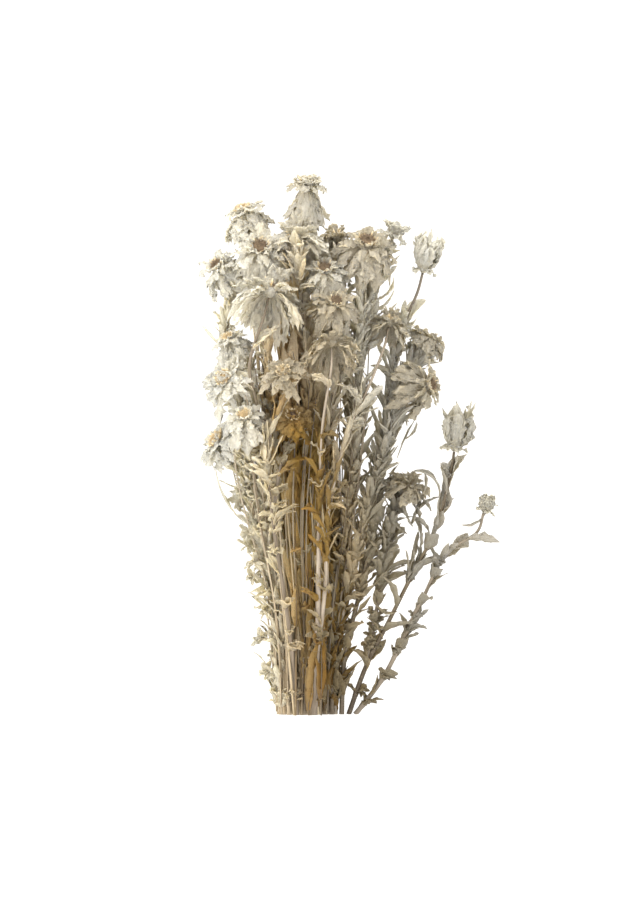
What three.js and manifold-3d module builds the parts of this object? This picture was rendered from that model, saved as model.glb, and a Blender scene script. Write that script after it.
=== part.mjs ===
// A bunch of dried safflower, lying on a table: forked leafy stems, cream papery blooms with brown seed
// buttons, and two sheaves of bare straws in the middle of the bunch.
// Millimetres: +X across the bunch, +Y from the cut ends to the flowers, +Z up from the table.
import * as THREE from 'three';
import { mergeVertices } from 'three/addons/utils/BufferGeometryUtils.js';
import Module from 'manifold-3d';

const wasm = await Module();
wasm.setup();

// Driving dimensions
const OUTLINE_MIDDLE = [2.3, 189.6]; // x and y of the middle of the whole bunch's outline
const FIT_GAP = 0.3; // between a stem's end, the bloom on it and the button in the bloom
const PILE_GAP = 0.25; // between stems that lie on each other at the cut ends
const BUNCH_MIDDLE = -29; // x of the bunch's own middle line at the cut ends
const OPENING_START = 20; // height at which the stems begin to spread
const OPENING_END = 210; // height at which they have spread in full
const SPREAD_ACROSS = 0.9; // added to the bunch's width, as a share
const SPREAD_UP = 1.7; // added to the bunch's depth, as a share
const STEM_RADIUS = 2.2; // at the cut
const FRONT_STEM_RADIUS = 2.9;
const PEDICEL_RADIUS = 0.9; // under a bloom
const FLATTENED = 0.2; // depth of the flat spots on which the lowest stems and blooms rest
const STRAW_RADIUS = 2.3;
const STRAW_TIP_RADIUS = 0.9;
const STRAW_PITCH = 4.2; // less than two radii, so the straws of a sheaf grow together at the cut
const NECK = 14; // the last stretch of a stem, straight in line with its bloom
const STEM_SIDES = 5;
const STEM_STATIONS = 13;
const CUT_ALLOWANCE = 0.1; // of the first stretch, grown below the cut and trimmed flush
const BRANCH_STATIONS = 6;
const BRANCH_SHARES = [0.7, 0.66, 0.74, 0.62]; // of the stem's radius, the first that joins soundly
const STRAW_STATIONS = 6;
const STRAW_LENGTH = [188, 232];
const STRAW_SWAY = 1.6; // at the top, to either side
const TAPER = 1.3; // above 1, a stem thins faster near its foot
const BLADE_THICKNESS = 1.1; // at the midrib
const CLEARANCE = 0.35; // kept between a blade and another piece
const FACET_TOLERANCE = 0.22; // facets flatter than this are taken together
const CORNER_GAP = 0.004; // the least distance between two corners of a solid
const EDGE_WAVE = 0.22; // height of the waves along a blade's edges, in half widths
const STEM_LEAVES = { count: 7, lowest: 0.16, highest: 0.94 }; // shares of the stem's length
const BRANCH_LEAVES = { count: 2, lowest: 0.3, highest: 0.94 };
const LEAF_TURN = 2.4; // from one leaf to the next round the stem, in radians
const LEAF_LENGTH = [18, 28];
const LEAF_WIDTH = [7, 10];
const LEAF_START = [20, 34]; // angles between a leaf and its stem in degrees, at the root and at the tip
const LEAF_END = [42, 100];
const LEAVES_STOP_AT = 0.15; // leaves stay above the table
const PETALS_STOP_AT = -1.6; // petals press on the table and are flattened on it

const UP = new THREE.Vector3(0, 0, 1);
const DEGREE = Math.PI / 180;
const FLAT_SIDE = Math.cos(Math.PI / STEM_SIDES); // from a stem's axis to its flat side, in radii

const STEPS = [-1, 0, 1];
const NEIGHBOUR_CELLS = STEPS.flatMap((x) => STEPS.flatMap((y) => STEPS.map((z) => [x, y, z])));

const STRAW_COLOUR = 0xb79f6f;
const LEAF_COLOUR = 0xd9d2b4;
const PETAL_COLOUR = 0xe6e1cd;
const BUTTON_COLOUR = 0x7d5c34;

// A seeded draw between two limits
function drawer(seed) {
  let state = seed;
  return (low, high) => {
    state = (state * 16807) % 2147483647;
    return low + ((high - low) * state) / 2147483647;
  };
}

const point = (x, y, z) => new THREE.Vector3(x, y, z);

// Where a stem that stands at (x, z) on the cut end has spread to at height y
function openedOut(x, z, y) {
  const rise = Math.min(1, Math.max(0, (y - OPENING_START) / (OPENING_END - OPENING_START)));
  const share = rise * rise * (3 - 2 * rise);
  const across = BUNCH_MIDDLE + (x - BUNCH_MIDDLE) * (1 + SPREAD_ACROSS * share);
  return point(across, y, z * (1 + SPREAD_UP * share));
}

// Blooms: place of the stem's end, direction that the bloom faces, style and size
const BLOOMS = {
  1: { at: [-29, 368, 36], faces: [0.05, 0.98, 0.15], style: 'bell', size: 0.9 },
  2: { at: [-72, 349, 38], faces: [-0.35, 0.9, 0.2], style: 'skirt', size: 0.95 },
  3: { at: [-61, 324, 66], faces: [-0.1, 0.62, 0.78], style: 'skirt', size: 1.0 },
  4: { at: [-89, 312, 46], faces: [-0.6, 0.6, 0.5], style: 'skirt', size: 0.85 },
  5: { at: [-37, 331, 60], faces: [-0.1, 0.86, -0.5], style: 'parasol', size: 0.9 },
  6: { at: [-16, 309, 64], faces: [-0.1, 0.75, 0.65], style: 'skirt', size: 0.85 },
  7: { at: [-56, 292, 76], faces: [0.2, 0.88, -0.38], style: 'parasol', size: 1.2 },
  8: { at: [-9, 286, 76], faces: [0.1, 0.7, 0.65], style: 'skirt', size: 0.8 },
  9: { at: [12, 326, 62], faces: [0.1, 0.75, 0.6], style: 'skirt', size: 1.1 },
  10: { at: [-8, 331, 46], faces: [-0.1, 0.9, -0.4], style: 'parasol', size: 0.8 },
  11: { at: [30, 334, 34], faces: [0.35, 0.9, 0.1], style: 'erect', size: 0.85 },
  12: { at: [52, 310, 36], faces: [0.25, 0.93, 0.2], style: 'pod', size: 0.9 },
  13: { at: [-12, 257, 76], faces: [0, 0.85, -0.45], style: 'parasol', size: 0.85 },
  14: { at: [-84, 234, 62], faces: [-0.5, 0.4, 0.75], style: 'open', size: 0.95 },
  15: { at: [28, 272, 46], faces: [0.2, 0.9, -0.3], style: 'parasol', size: 0.8 },
  16: { at: [55, 261, 26], faces: [0.5, 0.75, 0.1], style: 'cap', size: 0.95 },
  17: { at: [52, 231, 52], faces: [0.85, 0.15, 0.45], style: 'skirt', size: 0.9 },
  18: { at: [-45, 238, 84], faces: [-0.1, 0.6, 0.75], style: 'open', size: 0.75 },
  19: { at: [-39, 207, 63], faces: [0, 0.6, 0.75], style: 'open', size: 0.7 },
  20: { at: [74, 185, 34], faces: [0.15, 0.97, 0.1], style: 'pod', size: 1.0 },
  21: { at: [95, 142, 20], faces: [0.3, 0.92, 0.15], style: 'bud', size: 0.8 },
  22: { at: [40, 160, 20], faces: [0.4, 0.75, 0.4], style: 'cap', size: 0.75 },
  23: { at: [-82, 260, 44], faces: [-0.5, 0.8, 0.3], style: 'skirt', size: 0.8 },
  24: { at: [-72, 207, 72], faces: [-0.2, 0.7, 0.65], style: 'skirt', size: 0.75 },
  25: { at: [-88, 190, 22], faces: [-0.7, 0.5, 0.4], style: 'open', size: 1.0 },
};

// Rings of petals: count, angles from the bloom's axis at root and tip in degrees, length, width,
// where the root sits in the receptacle (radius, height), how far the edges bend back, and the gap in
// degrees that a ring leaves towards the viewer, where the stem passes in front
const RINGS = {
  skirt: [
    { count: 6, root: [3.6, 3.2], angles: [112, 168], length: 30, width: 14, cup: -0.4 },
    { count: 3, root: [4.6, 3.4], angles: [14, 52], length: 9, width: 6, cup: 0.3 },
  ],
  bell: [
    { count: 6, root: [3.6, 3.2], angles: [132, 176], length: 34, width: 15, cup: -0.45 },
    { count: 5, root: [4.6, 3.4], angles: [20, 84], length: 13, width: 8, cup: 0.2 },
  ],
  parasol: [
    { count: 6, root: [3.6, 3.2], angles: [106, 162], length: 30, width: 15, cup: -0.35, gap: 76 },
    { count: 3, root: [4.6, 3.4], angles: [14, 52], length: 9, width: 6, cup: 0.3 },
  ],
  open: [
    { count: 6, root: [3.6, 3.2], angles: [72, 118], length: 19, width: 11, cup: -0.2 },
    { count: 3, root: [4.6, 3.4], angles: [14, 52], length: 8, width: 6, cup: 0.3 },
  ],
  erect: [{ count: 7, root: [3.8, 3.2], angles: [24, 66], length: 15, width: 8, cup: 0.3 }],
  cap: [{ count: 6, root: [3.4, 3.2], angles: [84, 168], length: 26, width: 13, cup: -0.4 }],
  pod: [
    { count: 5, root: [3.4, 3.0], angles: [52, -26], length: 31, width: 13, cup: 0.45 },
    { count: 2, root: [2.6, 3.4], angles: [16, 40], length: 33, width: 7, cup: 0.3 },
  ],
  bud: [{ count: 5, root: [3.2, 2.8], angles: [58, -45], length: 17, width: 10, cup: 0.45 }],
};
const BUTTONLESS = ['erect', 'cap', 'pod', 'bud'];

// Stems: x at the cut, heights at which they follow the opening bunch, further points of the route, the
// bloom at the end, and a side branch from its fork.
const STEMS = [
  { name: 'far_left', cutX: -49, follows: [35, 80], route: [[-64, 140, 8], [-71, 165, 16], [-78, 215, 27],
    [-86, 265, 28]], bloom: 4, branch: { from: [-71, 165, 16], route: [], bloom: 25 } },
  { name: 'low_middle', cutX: -14.1, follows: [35, 80], route: [[-1, 140, 5], [1, 200, 12], [-2, 265, 30]],
    bloom: 10 },
  { name: 'right_inner', cutX: -9.35, follows: [], route: [[-8.5, 40, 2.6], [0, 90, 12], [12, 140, 27],
    [27, 190, 42]], bloom: 17 },
  { name: 'right_tall', cutX: -4.6, follows: [], route: [[-2.5, 40, 2.6], [9, 90, 8], [19, 140, 15],
    [28, 221, 26], [37, 270, 32]], bloom: 12,
    branch: { from: [28, 221, 26], route: [], bloom: 16 } },
  { name: 'right_pod', cutX: 0.15, follows: [], route: [[12, 33, 4], [29, 67, 8], [45, 99, 14],
    [61, 130, 22]], bloom: 20,
    branch: { from: [12, 33, 4], route: [[20, 75, 7], [27, 118, 12]], bloom: 22 } },
  { name: 'far_right', cutX: 4.9, follows: [], route: [[24, 25, 4], [38, 52, 6], [54, 85, 10],
    [69, 114, 15]], bloom: 21 },
  { name: 'left', cutX: -47.3, follows: [35, 80], route: [[-66, 140, 22], [-72, 172, 42]], bloom: 14,
    branch: { from: [-72, 172, 42], route: [], bloom: 24 } },
  { name: 'centre_right', cutX: -16.6, follows: [35, 80, 140], route: [[-14, 180, 40], [-11, 225, 50],
    [-15, 268, 54]], bloom: 6, branch: { from: [-11, 225, 50], route: [[-3, 252, 56]], bloom: 8 } },
  { name: 'right_middle', cutX: -11.8, follows: [35, 80], route: [[0, 140, 22], [5, 190, 36], [8, 235, 44],
    [9, 285, 52]], bloom: 9, branch: { from: [8, 235, 44], route: [[14, 285, 36]], bloom: 11 } },
  { name: 'left_curved', cutX: -45.2, follows: [35, 80], route: [[-58, 140, 30], [-62, 180, 46],
    [-63, 212, 57], [-69, 245, 72]], bloom: 7,
    branch: { from: [-63, 212, 57], route: [], bloom: 23 } },
  { name: 'centre_left', cutX: -41.6, follows: [35, 80, 140], route: [[-52, 190, 42], [-56, 245, 48],
    [-58, 285, 50]], bloom: 3, branch: { from: [-56, 245, 48], route: [[-66, 290, 40]], bloom: 2 } },
  { name: 'front_left', cutX: -36.4, follows: [], route: [[-39, 40, 21], [-45, 85, 33], [-53, 138, 50],
    [-56, 190, 64]], bloom: 18, branch: { from: [-53, 138, 50], route: [[-47, 176, 54]], bloom: 19 } },
  { name: 'top_middle', cutX: -31.2, follows: [35, 80, 140], route: [[-30, 190, 46], [-27, 235, 48],
    [-32, 275, 44]], bloom: 1, branch: { from: [-32, 275, 44], route: [], bloom: 5 } },
  { name: 'front', cutX: -25.2, follows: [], route: [[-22, 43, 22], [-21, 105, 36], [-20, 165, 54],
    [-18, 205, 66]], bloom: 13,
    branch: { from: [-22, 43, 22], route: [[-16.5, 88, 34], [-13, 150, 52], [0, 198, 60], [16, 235, 60]],
      bloom: 15 } },
];

// Sheaves of bare straws: first x and number of straws of each row
const SHEAVES = [
  { name: 'straw_sheaf_back', rows: [[-44.15, 7], [-42.05, 6]] },
  { name: 'straw_sheaf_core', rows: [[-39.95, 5], [-37.85, 4]] },
];

// The order in which stems and rows of straws come to lie on each other at the cut ends
const PILE_ORDER = [
  'far_left', 'straw_sheaf_back:0', 'low_middle', 'right_inner', 'right_tall', 'right_pod', 'far_right',
  'straw_sheaf_back:1', 'left', 'centre_right', 'right_middle', 'straw_sheaf_core:0', 'left_curved',
  'straw_sheaf_core:1', 'centre_left', 'front_left', 'top_middle', 'front',
];

// Circles that settle one by one at the cut end: each comes to rest on the table or on those below it
function pileUp() {
  const settled = [];
  const drop = (owner, x, radius) => {
    let z = radius * FLAT_SIDE - FLATTENED;
    for (const other of settled) {
      const gap = other.owner === owner ? STRAW_PITCH - 2 * STRAW_RADIUS : PILE_GAP;
      const reach = radius + other.radius + gap;
      const across = Math.abs(x - other.x);
      if (across < reach) z = Math.max(z, other.z + Math.sqrt(reach * reach - across * across));
    }
    settled.push({ owner, x, z, radius });
  };
  for (const entry of PILE_ORDER) {
    const [owner, row] = entry.split(':');
    const sheaf = SHEAVES.find((one) => one.name === owner);
    if (sheaf) {
      const [firstX, count] = sheaf.rows[row];
      for (let k = 0; k < count; k += 1) drop(owner, firstX + k * STRAW_PITCH, STRAW_RADIUS);
    } else {
      const radius = owner === 'front' ? FRONT_STEM_RADIUS : STEM_RADIUS;
      drop(owner, STEMS.find((one) => one.name === owner).cutX, radius);
    }
  }
  return settled;
}

// A closed body of triangles as a solid
function solidOf(vertices, faces) {
  const mesh = new wasm.Mesh({
    numProp: 3,
    vertProperties: new Float32Array(vertices.flatMap((v) => [v.x, v.y, v.z])),
    triVerts: new Uint32Array(faces.flat()),
  });
  return new wasm.Manifold(mesh);
}

// Directions across a line: first to the right of it, second towards the viewer
function acrossOf(direction) {
  const right = direction.clone().cross(UP).normalize();
  return [right, right.clone().cross(direction).normalize()];
}

// Triangles of a body made of rings of equal count, one after the other, with flat ends
function ringFaces(ringCount, sides) {
  const faces = [];
  for (let k = 1; k < sides - 1; k += 1) faces.push([0, k + 1, k]);
  for (let ring = 0; ring < ringCount - 1; ring += 1) {
    for (let k = 0; k < sides; k += 1) {
      const a = ring * sides + k;
      const b = ring * sides + ((k + 1) % sides);
      faces.push([a, b, b + sides], [a, b + sides, a + sides]);
    }
  }
  const last = (ringCount - 1) * sides;
  for (let k = 1; k < sides - 1; k += 1) faces.push([last, last + k, last + k + 1]);
  return faces;
}

// A tapering stem along a path, with a flat side towards the table
function stemSolid(path, rootRadius, tipRadius, stations) {
  const vertices = [];
  for (let station = 0; station < stations; station += 1) {
    const t = station / (stations - 1);
    const centre = path.getPoint(t);
    const [right, near] = acrossOf(path.getTangent(t));
    const radius = tipRadius + (rootRadius - tipRadius) * (1 - t) ** TAPER;
    for (let side = 0; side < STEM_SIDES; side += 1) {
      const turn = Math.PI / 2 + (2 * Math.PI * side) / STEM_SIDES;
      vertices.push(centre.clone().addScaledVector(right, -radius * Math.cos(turn))
        .addScaledVector(near, radius * Math.sin(turn)));
    }
  }
  return solidOf(vertices, ringFaces(stations, STEM_SIDES));
}

// Half the width of a petal or leaf at share u of its length
const petalProfile = (u) => (0.3 + 0.7 * Math.sin(Math.PI * 0.78 * u)) * Math.sqrt(1 - u ** 8);
const leafProfile = (u) => 0.26 * (1 - u) + Math.sin(Math.PI * u ** 0.85);

// A blade: its midline turns evenly from one angle to another, measured from axis towards outward.
// Each station has a left edge, a raised midrib, a right edge and an underside, and the edges wave.
function bladeSolid({ root, axis, outward, angles, length, width, cup, phase, profile, shares }, swell = 0) {
  const side = axis.clone().cross(outward);
  const [start, end] = angles;
  const turn = end - start;
  const place = (u) => {
    const angle = start + turn * u;
    const out = (length * (Math.cos(start) - Math.cos(angle))) / turn;
    const along = (length * (Math.sin(angle) - Math.sin(start))) / turn;
    const tangent = outward.clone().multiplyScalar(Math.sin(angle)).addScaledVector(axis, Math.cos(angle));
    return {
      middle: root.clone().addScaledVector(outward, out).addScaledVector(axis, along),
      normal: tangent.clone().cross(side),
    };
  };
  const vertices = [];
  for (const u of shares) {
    const { middle, normal } = place(u);
    const halfWidth = (width / 2) * profile(u);
    const wave = EDGE_WAVE * halfWidth * Math.min(1, 4 * u);
    const bend = cup * halfWidth;
    const leftLift = bend + wave * Math.sin(phase + 7 * u);
    const rightLift = bend + wave * Math.sin(phase + 2.2 + 8 * u);
    const half = BLADE_THICKNESS / 2 + swell;
    const left = middle.clone().addScaledVector(side, halfWidth + swell);
    const right = middle.clone().addScaledVector(side, -halfWidth - swell);
    vertices.push(left.addScaledVector(normal, leftLift), middle.clone().addScaledVector(normal, half));
    vertices.push(right.addScaledVector(normal, rightLift), middle.clone().addScaledVector(normal, -half));
  }
  const faces = [[0, 3, 2], [0, 2, 1]];
  for (let station = 0; station < shares.length - 1; station += 1) {
    for (let k = 0; k < 4; k += 1) {
      const a = station * 4 + k;
      const b = station * 4 + ((k + 1) % 4);
      if (k % 2 === 0) faces.push([a, b, b + 4], [a, b + 4, a + 4]);
      else faces.push([a, b, a + 4], [b, b + 4, a + 4]);
    }
  }
  const tip = vertices.length;
  vertices.push(place(1 + swell / length).middle);
  for (let k = 0; k < 4; k += 1) faces.push([tip - 4 + k, tip - 4 + ((k + 1) % 4), tip]);
  return solidOf(vertices, faces);
}

// A body turned about the Y axis from a profile that starts and ends on it, then set on a bloom's axis
// Relief raises and sinks its corners by turns, above the first ring.
function turnedSolid(profile, sides, frame, relief = 0) {
  const lathe = new THREE.LatheGeometry(profile.map(([r, h]) => new THREE.Vector2(r, h)), sides);
  lathe.deleteAttribute('normal');
  lathe.deleteAttribute('uv');
  const geometry = mergeVertices(lathe, 1e-4);
  const places = geometry.attributes.position;
  for (let k = 0; k < places.count; k += 1) {
    const [x, height, z] = new THREE.Vector3().fromBufferAttribute(places, k).toArray();
    if (Math.hypot(x, z) < 0.01 || height < profile[1][1] + 0.1) continue;
    const turn = Math.round((Math.atan2(z, x) * sides) / (2 * Math.PI));
    places.setY(k, height + ((turn + Math.round(height)) % 2 === 0 ? relief : -relief));
  }
  geometry.applyMatrix4(frame);
  const index = Array.from(geometry.index.array);
  const faces = [];
  for (let k = 0; k < index.length; k += 3) {
    const face = [index[k], index[k + 1], index[k + 2]];
    if (new Set(face).size === 3) faces.push(face);
  }
  const vertices = [];
  for (let k = 0; k < places.count; k += 1) vertices.push(new THREE.Vector3().fromBufferAttribute(places, k));
  return solidOf(vertices, faces);
}

// The largest body of a solid: sealed hollows are filled and loose scraps dropped
function wholeBody(solid) {
  const bodies = solid.decompose();
  return bodies.reduce((best, body) => (body.volume() > best.volume() ? body : best));
}

// The pieces placed so far, by node name
const pieces = new Map();

function boxesMeet(one, two) {
  return [0, 1, 2].every((k) => one.min[k] <= two.max[k] && two.min[k] <= one.max[k]);
}

// Whether a swollen blade stays above a height and clear of every piece but its own
function isClear(swollen, own, lowest) {
  const box = swollen.boundingBox();
  if (box.min[2] < lowest) return false;
  for (const [name, piece] of pieces) {
    if (name === own || !boxesMeet(box, piece.box)) continue;
    if (!swollen.intersect(piece.solid).isEmpty()) return false;
  }
  return true;
}

function keep(name, solid, kind) {
  pieces.set(name, { solid, box: solid.boundingBox(), kind });
}

// A solid with its smallest facets taken together
const simplified = (solid) => solid.asOriginal().simplify(FACET_TOLERANCE);

// Whether all corners of a solid stand far enough apart to stay separate when it is written out
function cornersApart(solid) {
  const { vertProperties } = simplified(solid).getMesh();
  const corners = new Map();
  for (let k = 0; k < vertProperties.length; k += 3) {
    const place = [0, 1, 2].map((axis) => vertProperties[k + axis]);
    const cell = place.map((value) => Math.floor(value / CORNER_GAP));
    const isNear = (other) => Math.hypot(...other.map((value, axis) => value - place[axis])) < CORNER_GAP;
    for (const shift of NEIGHBOUR_CELLS) {
      const others = corners.get(cell.map((value, axis) => value + shift[axis]).join()) ?? [];
      if (others.some(isNear)) return false;
    }
    const own = cell.join();
    corners.set(own, [...(corners.get(own) ?? []), place]);
  }
  return true;
}

// Adds a blade to a body in its own pose, or bent until it is clear of the other pieces, or not at all
function growBlade(body, blade, bends, own, lowest) {
  for (const bend of bends) {
    const bent = { ...blade, ...bend(blade) };
    if (!isClear(bladeSolid(bent, CLEARANCE), own, lowest)) continue;
    const grown = body.add(bladeSolid(bent));
    if (cornersApart(grown)) return grown;
  }
  return body;
}

const folded = (fold, shorter) => (blade) => ({
  angles: [blade.angles[0], blade.angles[1] + fold * DEGREE],
  length: blade.length * shorter,
});
const PETAL_BENDS = [
  folded(0, 1), folded(-22, 1), folded(-45, 0.9), folded(14, 0.9), folded(0, 0.7), folded(-35, 0.7),
  folded(-60, 0.7), folded(0, 0.5), folded(-40, 0.5),
];
const swung = (swing, shorter) => (blade) => ({
  outward: blade.outward.clone().applyAxisAngle(blade.axis, swing * DEGREE),
  length: blade.length * shorter,
});
const LEAF_BENDS = [
  swung(0, 1), swung(35, 1), swung(-35, 1), swung(70, 1), swung(-70, 1), swung(0, 0.7), swung(60, 0.7),
  swung(-60, 0.7), swung(120, 0.8), swung(-120, 0.8),
];

// Route of a stem: it follows the opening bunch, then its own points, and ends in line with its bloom
function routeTo(points, bloom) {
  const head = BLOOMS[bloom];
  const end = point(...head.at);
  const faces = point(...head.faces).normalize();
  return new THREE.CatmullRomCurve3([...points, end.clone().addScaledVector(faces, -NECK), end]);
}

// Stems and their branches, before the leaves
function growStems(settled) {
  return STEMS.map((stem) => {
    const foot = settled.find((one) => one.owner === stem.name);
    const points = [point(foot.x, 0, foot.z)];
    for (const height of stem.follows) points.push(openedOut(foot.x, foot.z, height));
    for (const place of stem.route) points.push(point(...place));
    points.unshift(points[0].clone().lerp(points[1], -CUT_ALLOWANCE));
    const paths = [routeTo(points, stem.bloom)];
    let solid = stemSolid(paths[0], foot.radius, PEDICEL_RADIUS, STEM_STATIONS).trimByPlane([0, 1, 0], 0)
      .trimByPlane([0, 0, 1], 0);
    if (stem.branch) {
      const onward = stem.branch.route.map((place) => point(...place));
      paths.push(routeTo([point(...stem.branch.from), ...onward], stem.branch.bloom));
      const joined = BRANCH_SHARES.map((share) => (
        solid.add(stemSolid(paths[1], foot.radius * share, PEDICEL_RADIUS, BRANCH_STATIONS))));
      solid = joined.find(cornersApart) ?? joined[0];
    }
    keep(`stem_${stem.name}`, solid, 'stem');
    return { ...stem, paths };
  });
}

// Sheaves of bare straws, grown together where they touch near the cut
function growSheaves(settled) {
  SHEAVES.forEach((sheaf, index) => {
    const draw = drawer(700 + index);
    const straws = settled.filter((one) => one.owner === sheaf.name).map((foot) => {
      const points = [0, 35, 80, 140, draw(...STRAW_LENGTH)].map((height) => {
        const place = openedOut(foot.x, foot.z, height);
        const sway = Math.max(0, (height - 80) / 150);
        place.x += sway * draw(-STRAW_SWAY, STRAW_SWAY);
        place.z += sway * draw(-STRAW_SWAY, STRAW_SWAY);
        return place;
      });
      return stemSolid(new THREE.CatmullRomCurve3(points), foot.radius, STRAW_TIP_RADIUS, STRAW_STATIONS);
    });
    const grownTogether = straws.reduce((all, straw) => all.add(straw));
    keep(sheaf.name, wholeBody(grownTogether.trimByPlane([0, 0, 1], 0)), 'straw');
  });
}

// A bloom's frame: Y along its axis, origin a gap above its stem's end
function bloomFrame(bloom) {
  const axis = point(...bloom.faces).normalize();
  const [right, near] = acrossOf(axis);
  const origin = point(...bloom.at).addScaledVector(axis, FIT_GAP);
  const frame = new THREE.Matrix4().makeBasis(right, axis, right.clone().cross(axis));
  frame.setPosition(origin);
  return { axis, right, near, origin, frame };
}

// Profiles (radius, height) of the receptacle and of the seed button in it, and the button's relief
const RECEPTACLE = [[0, 0], [2, 0], [5.6, 4.4], [4.8, 5], [0, 3.2]];
const BUTTON = [[0, 3.2], [4.4, 4.95], [4.6, 6.8], [2.4, 8.6], [0, 8.0]];
const BUTTON_RELIEF = 0.3;

// Direction at right angles to an axis, turned round it from its right hand towards the viewer
const outwardAt = ([right, near], around) => (
  right.clone().multiplyScalar(Math.cos(around)).addScaledVector(near, Math.sin(around)));

// Receptacles and buttons first, then the petals of each bloom, clear of all that is in place
function plantBlooms() {
  const frames = {};
  for (const [number, bloom] of Object.entries(BLOOMS)) {
    const label = String(number).padStart(2, '0');
    frames[number] = bloomFrame(bloom);
    const { frame, axis } = frames[number];
    const grown = frame.clone().scale(point(bloom.size, bloom.size, bloom.size));
    keep(`bloom_${label}`, turnedSolid(RECEPTACLE, 7, grown), 'petal');
    if (!BUTTONLESS.includes(bloom.style)) {
      const seat = new THREE.Matrix4().makeTranslation(axis.clone().multiplyScalar(FIT_GAP + 0.05));
      keep(`seed_button_${label}`, turnedSolid(BUTTON, 8, seat.multiply(grown), BUTTON_RELIEF), 'button');
    }
  }
  for (const [number, bloom] of Object.entries(BLOOMS)) {
    const name = `bloom_${String(number).padStart(2, '0')}`;
    const { axis, right, near, origin } = frames[number];
    const draw = drawer(1000 + 37 * Number(number));
    let { solid } = pieces.get(name);
    for (const ring of RINGS[bloom.style]) {
      for (let k = 0; k < ring.count; k += 1) {
        const turned = ((k + draw(-0.22, 0.22)) / ring.count) * 2 * Math.PI + draw(0, 0.4);
        const gap = (ring.gap ?? 0) * DEGREE;
        const pastGap = Math.PI / 2 + gap / 2 + turned * (1 - gap / (2 * Math.PI));
        const outward = outwardAt([right, near], gap ? pastGap : turned);
        const blade = {
          root: origin.clone().addScaledVector(outward, ring.root[0] * bloom.size)
            .addScaledVector(axis, ring.root[1] * bloom.size),
          axis,
          outward,
          angles: [(ring.angles[0] + draw(-7, 7)) * DEGREE, (ring.angles[1] + draw(-12, 9)) * DEGREE],
          length: ring.length * bloom.size * draw(0.82, 1.1),
          width: ring.width * bloom.size * draw(0.85, 1.12),
          cup: ring.cup,
          phase: draw(0, 6.28),
          profile: petalProfile,
          shares: ring.length > 12 ? [0, 0.38, 0.8] : [0, 0.6],
        };
        solid = growBlade(solid, blade, PETAL_BENDS, name, PETALS_STOP_AT);
      }
    }
    keep(name, wholeBody(solid.trimByPlane([0, 0, 1], 0)), 'petal');
  }
}

// Leaves up each stem and its branch, at the golden angle
function leafOut(stems) {
  stems.forEach((stem, index) => {
    const name = `stem_${stem.name}`;
    const draw = drawer(4000 + 53 * index);
    let { solid } = pieces.get(name);
    stem.paths.forEach((path, which) => {
      const { count, lowest, highest } = which === 0 ? STEM_LEAVES : BRANCH_LEAVES;
      for (let k = 0; k < count; k += 1) {
        const share = lowest + ((highest - lowest) * (k + draw(0.2, 0.8))) / count;
        const axis = path.getTangentAt(share);
        const blade = {
          root: path.getPointAt(share),
          axis,
          outward: outwardAt(acrossOf(axis), LEAF_TURN * k + draw(0, 1.6) + index),
          angles: [draw(...LEAF_START) * DEGREE, draw(...LEAF_END) * DEGREE],
          length: draw(...LEAF_LENGTH),
          width: draw(...LEAF_WIDTH),
          cup: 0.3,
          phase: draw(0, 6.28),
          profile: leafProfile,
          shares: [0, 0.35, 0.7],
        };
        solid = growBlade(solid, blade, LEAF_BENDS, name, LEAVES_STOP_AT);
      }
    });
    keep(name, wholeBody(solid), 'stem');
  });
}

const settled = pileUp();
const stems = growStems(settled);
growSheaves(settled);
plantBlooms();
leafOut(stems);

const MATERIALS = {
  stem: { color: LEAF_COLOUR, roughness: 0.85, metalness: 0 },
  straw: { color: STRAW_COLOUR, roughness: 0.7, metalness: 0 },
  petal: { color: PETAL_COLOUR, roughness: 0.8, metalness: 0 },
  button: { color: BUTTON_COLOUR, roughness: 0.95, metalness: 0 },
};

const bunch = new THREE.Group();
bunch.position.set(-OUTLINE_MIDDLE[0], -OUTLINE_MIDDLE[1], 0);
for (const [name, piece] of pieces) {
  const { vertProperties, triVerts } = simplified(piece.solid).getMesh();
  const geometry = new THREE.BufferGeometry();
  geometry.setAttribute('position', new THREE.BufferAttribute(vertProperties, 3));
  geometry.setIndex(new THREE.BufferAttribute(triVerts, 1));
  geometry.computeVertexNormals();
  const mesh = new THREE.Mesh(geometry, new THREE.MeshStandardMaterial(MATERIALS[piece.kind]));
  mesh.name = name;
  bunch.add(mesh);
}

export default bunch;
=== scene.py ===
import bpy
import mathutils
import numpy as np
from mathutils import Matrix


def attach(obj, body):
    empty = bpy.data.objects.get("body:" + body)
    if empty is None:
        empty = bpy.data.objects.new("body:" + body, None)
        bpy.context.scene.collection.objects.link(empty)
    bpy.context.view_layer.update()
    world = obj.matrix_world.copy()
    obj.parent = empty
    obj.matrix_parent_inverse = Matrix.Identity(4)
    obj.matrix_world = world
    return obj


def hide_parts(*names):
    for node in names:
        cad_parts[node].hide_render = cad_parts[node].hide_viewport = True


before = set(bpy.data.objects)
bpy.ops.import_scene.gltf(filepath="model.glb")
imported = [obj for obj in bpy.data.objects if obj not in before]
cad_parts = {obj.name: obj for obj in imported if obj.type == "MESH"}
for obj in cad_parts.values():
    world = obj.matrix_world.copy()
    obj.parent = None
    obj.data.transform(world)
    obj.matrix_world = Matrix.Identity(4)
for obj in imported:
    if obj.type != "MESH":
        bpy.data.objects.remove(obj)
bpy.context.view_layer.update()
print("bunch: packed frame is in, with", len(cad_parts), "solids")

# Shapes are worked out in the bunch's own millimetres (x across, y from the cut ends, z up from the table)
# and moved to the frame, in metres, when a mesh is made.
outlineMiddle = np.array([2.3, 189.6, 0.0])
metre = 0.001
degree = np.pi / 180
upward = np.array([0.0, 0.0, 1.0])


def unit(vectors):
    return vectors / np.maximum(np.linalg.norm(vectors, axis=-1, keepdims=True), 1e-12)


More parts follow.
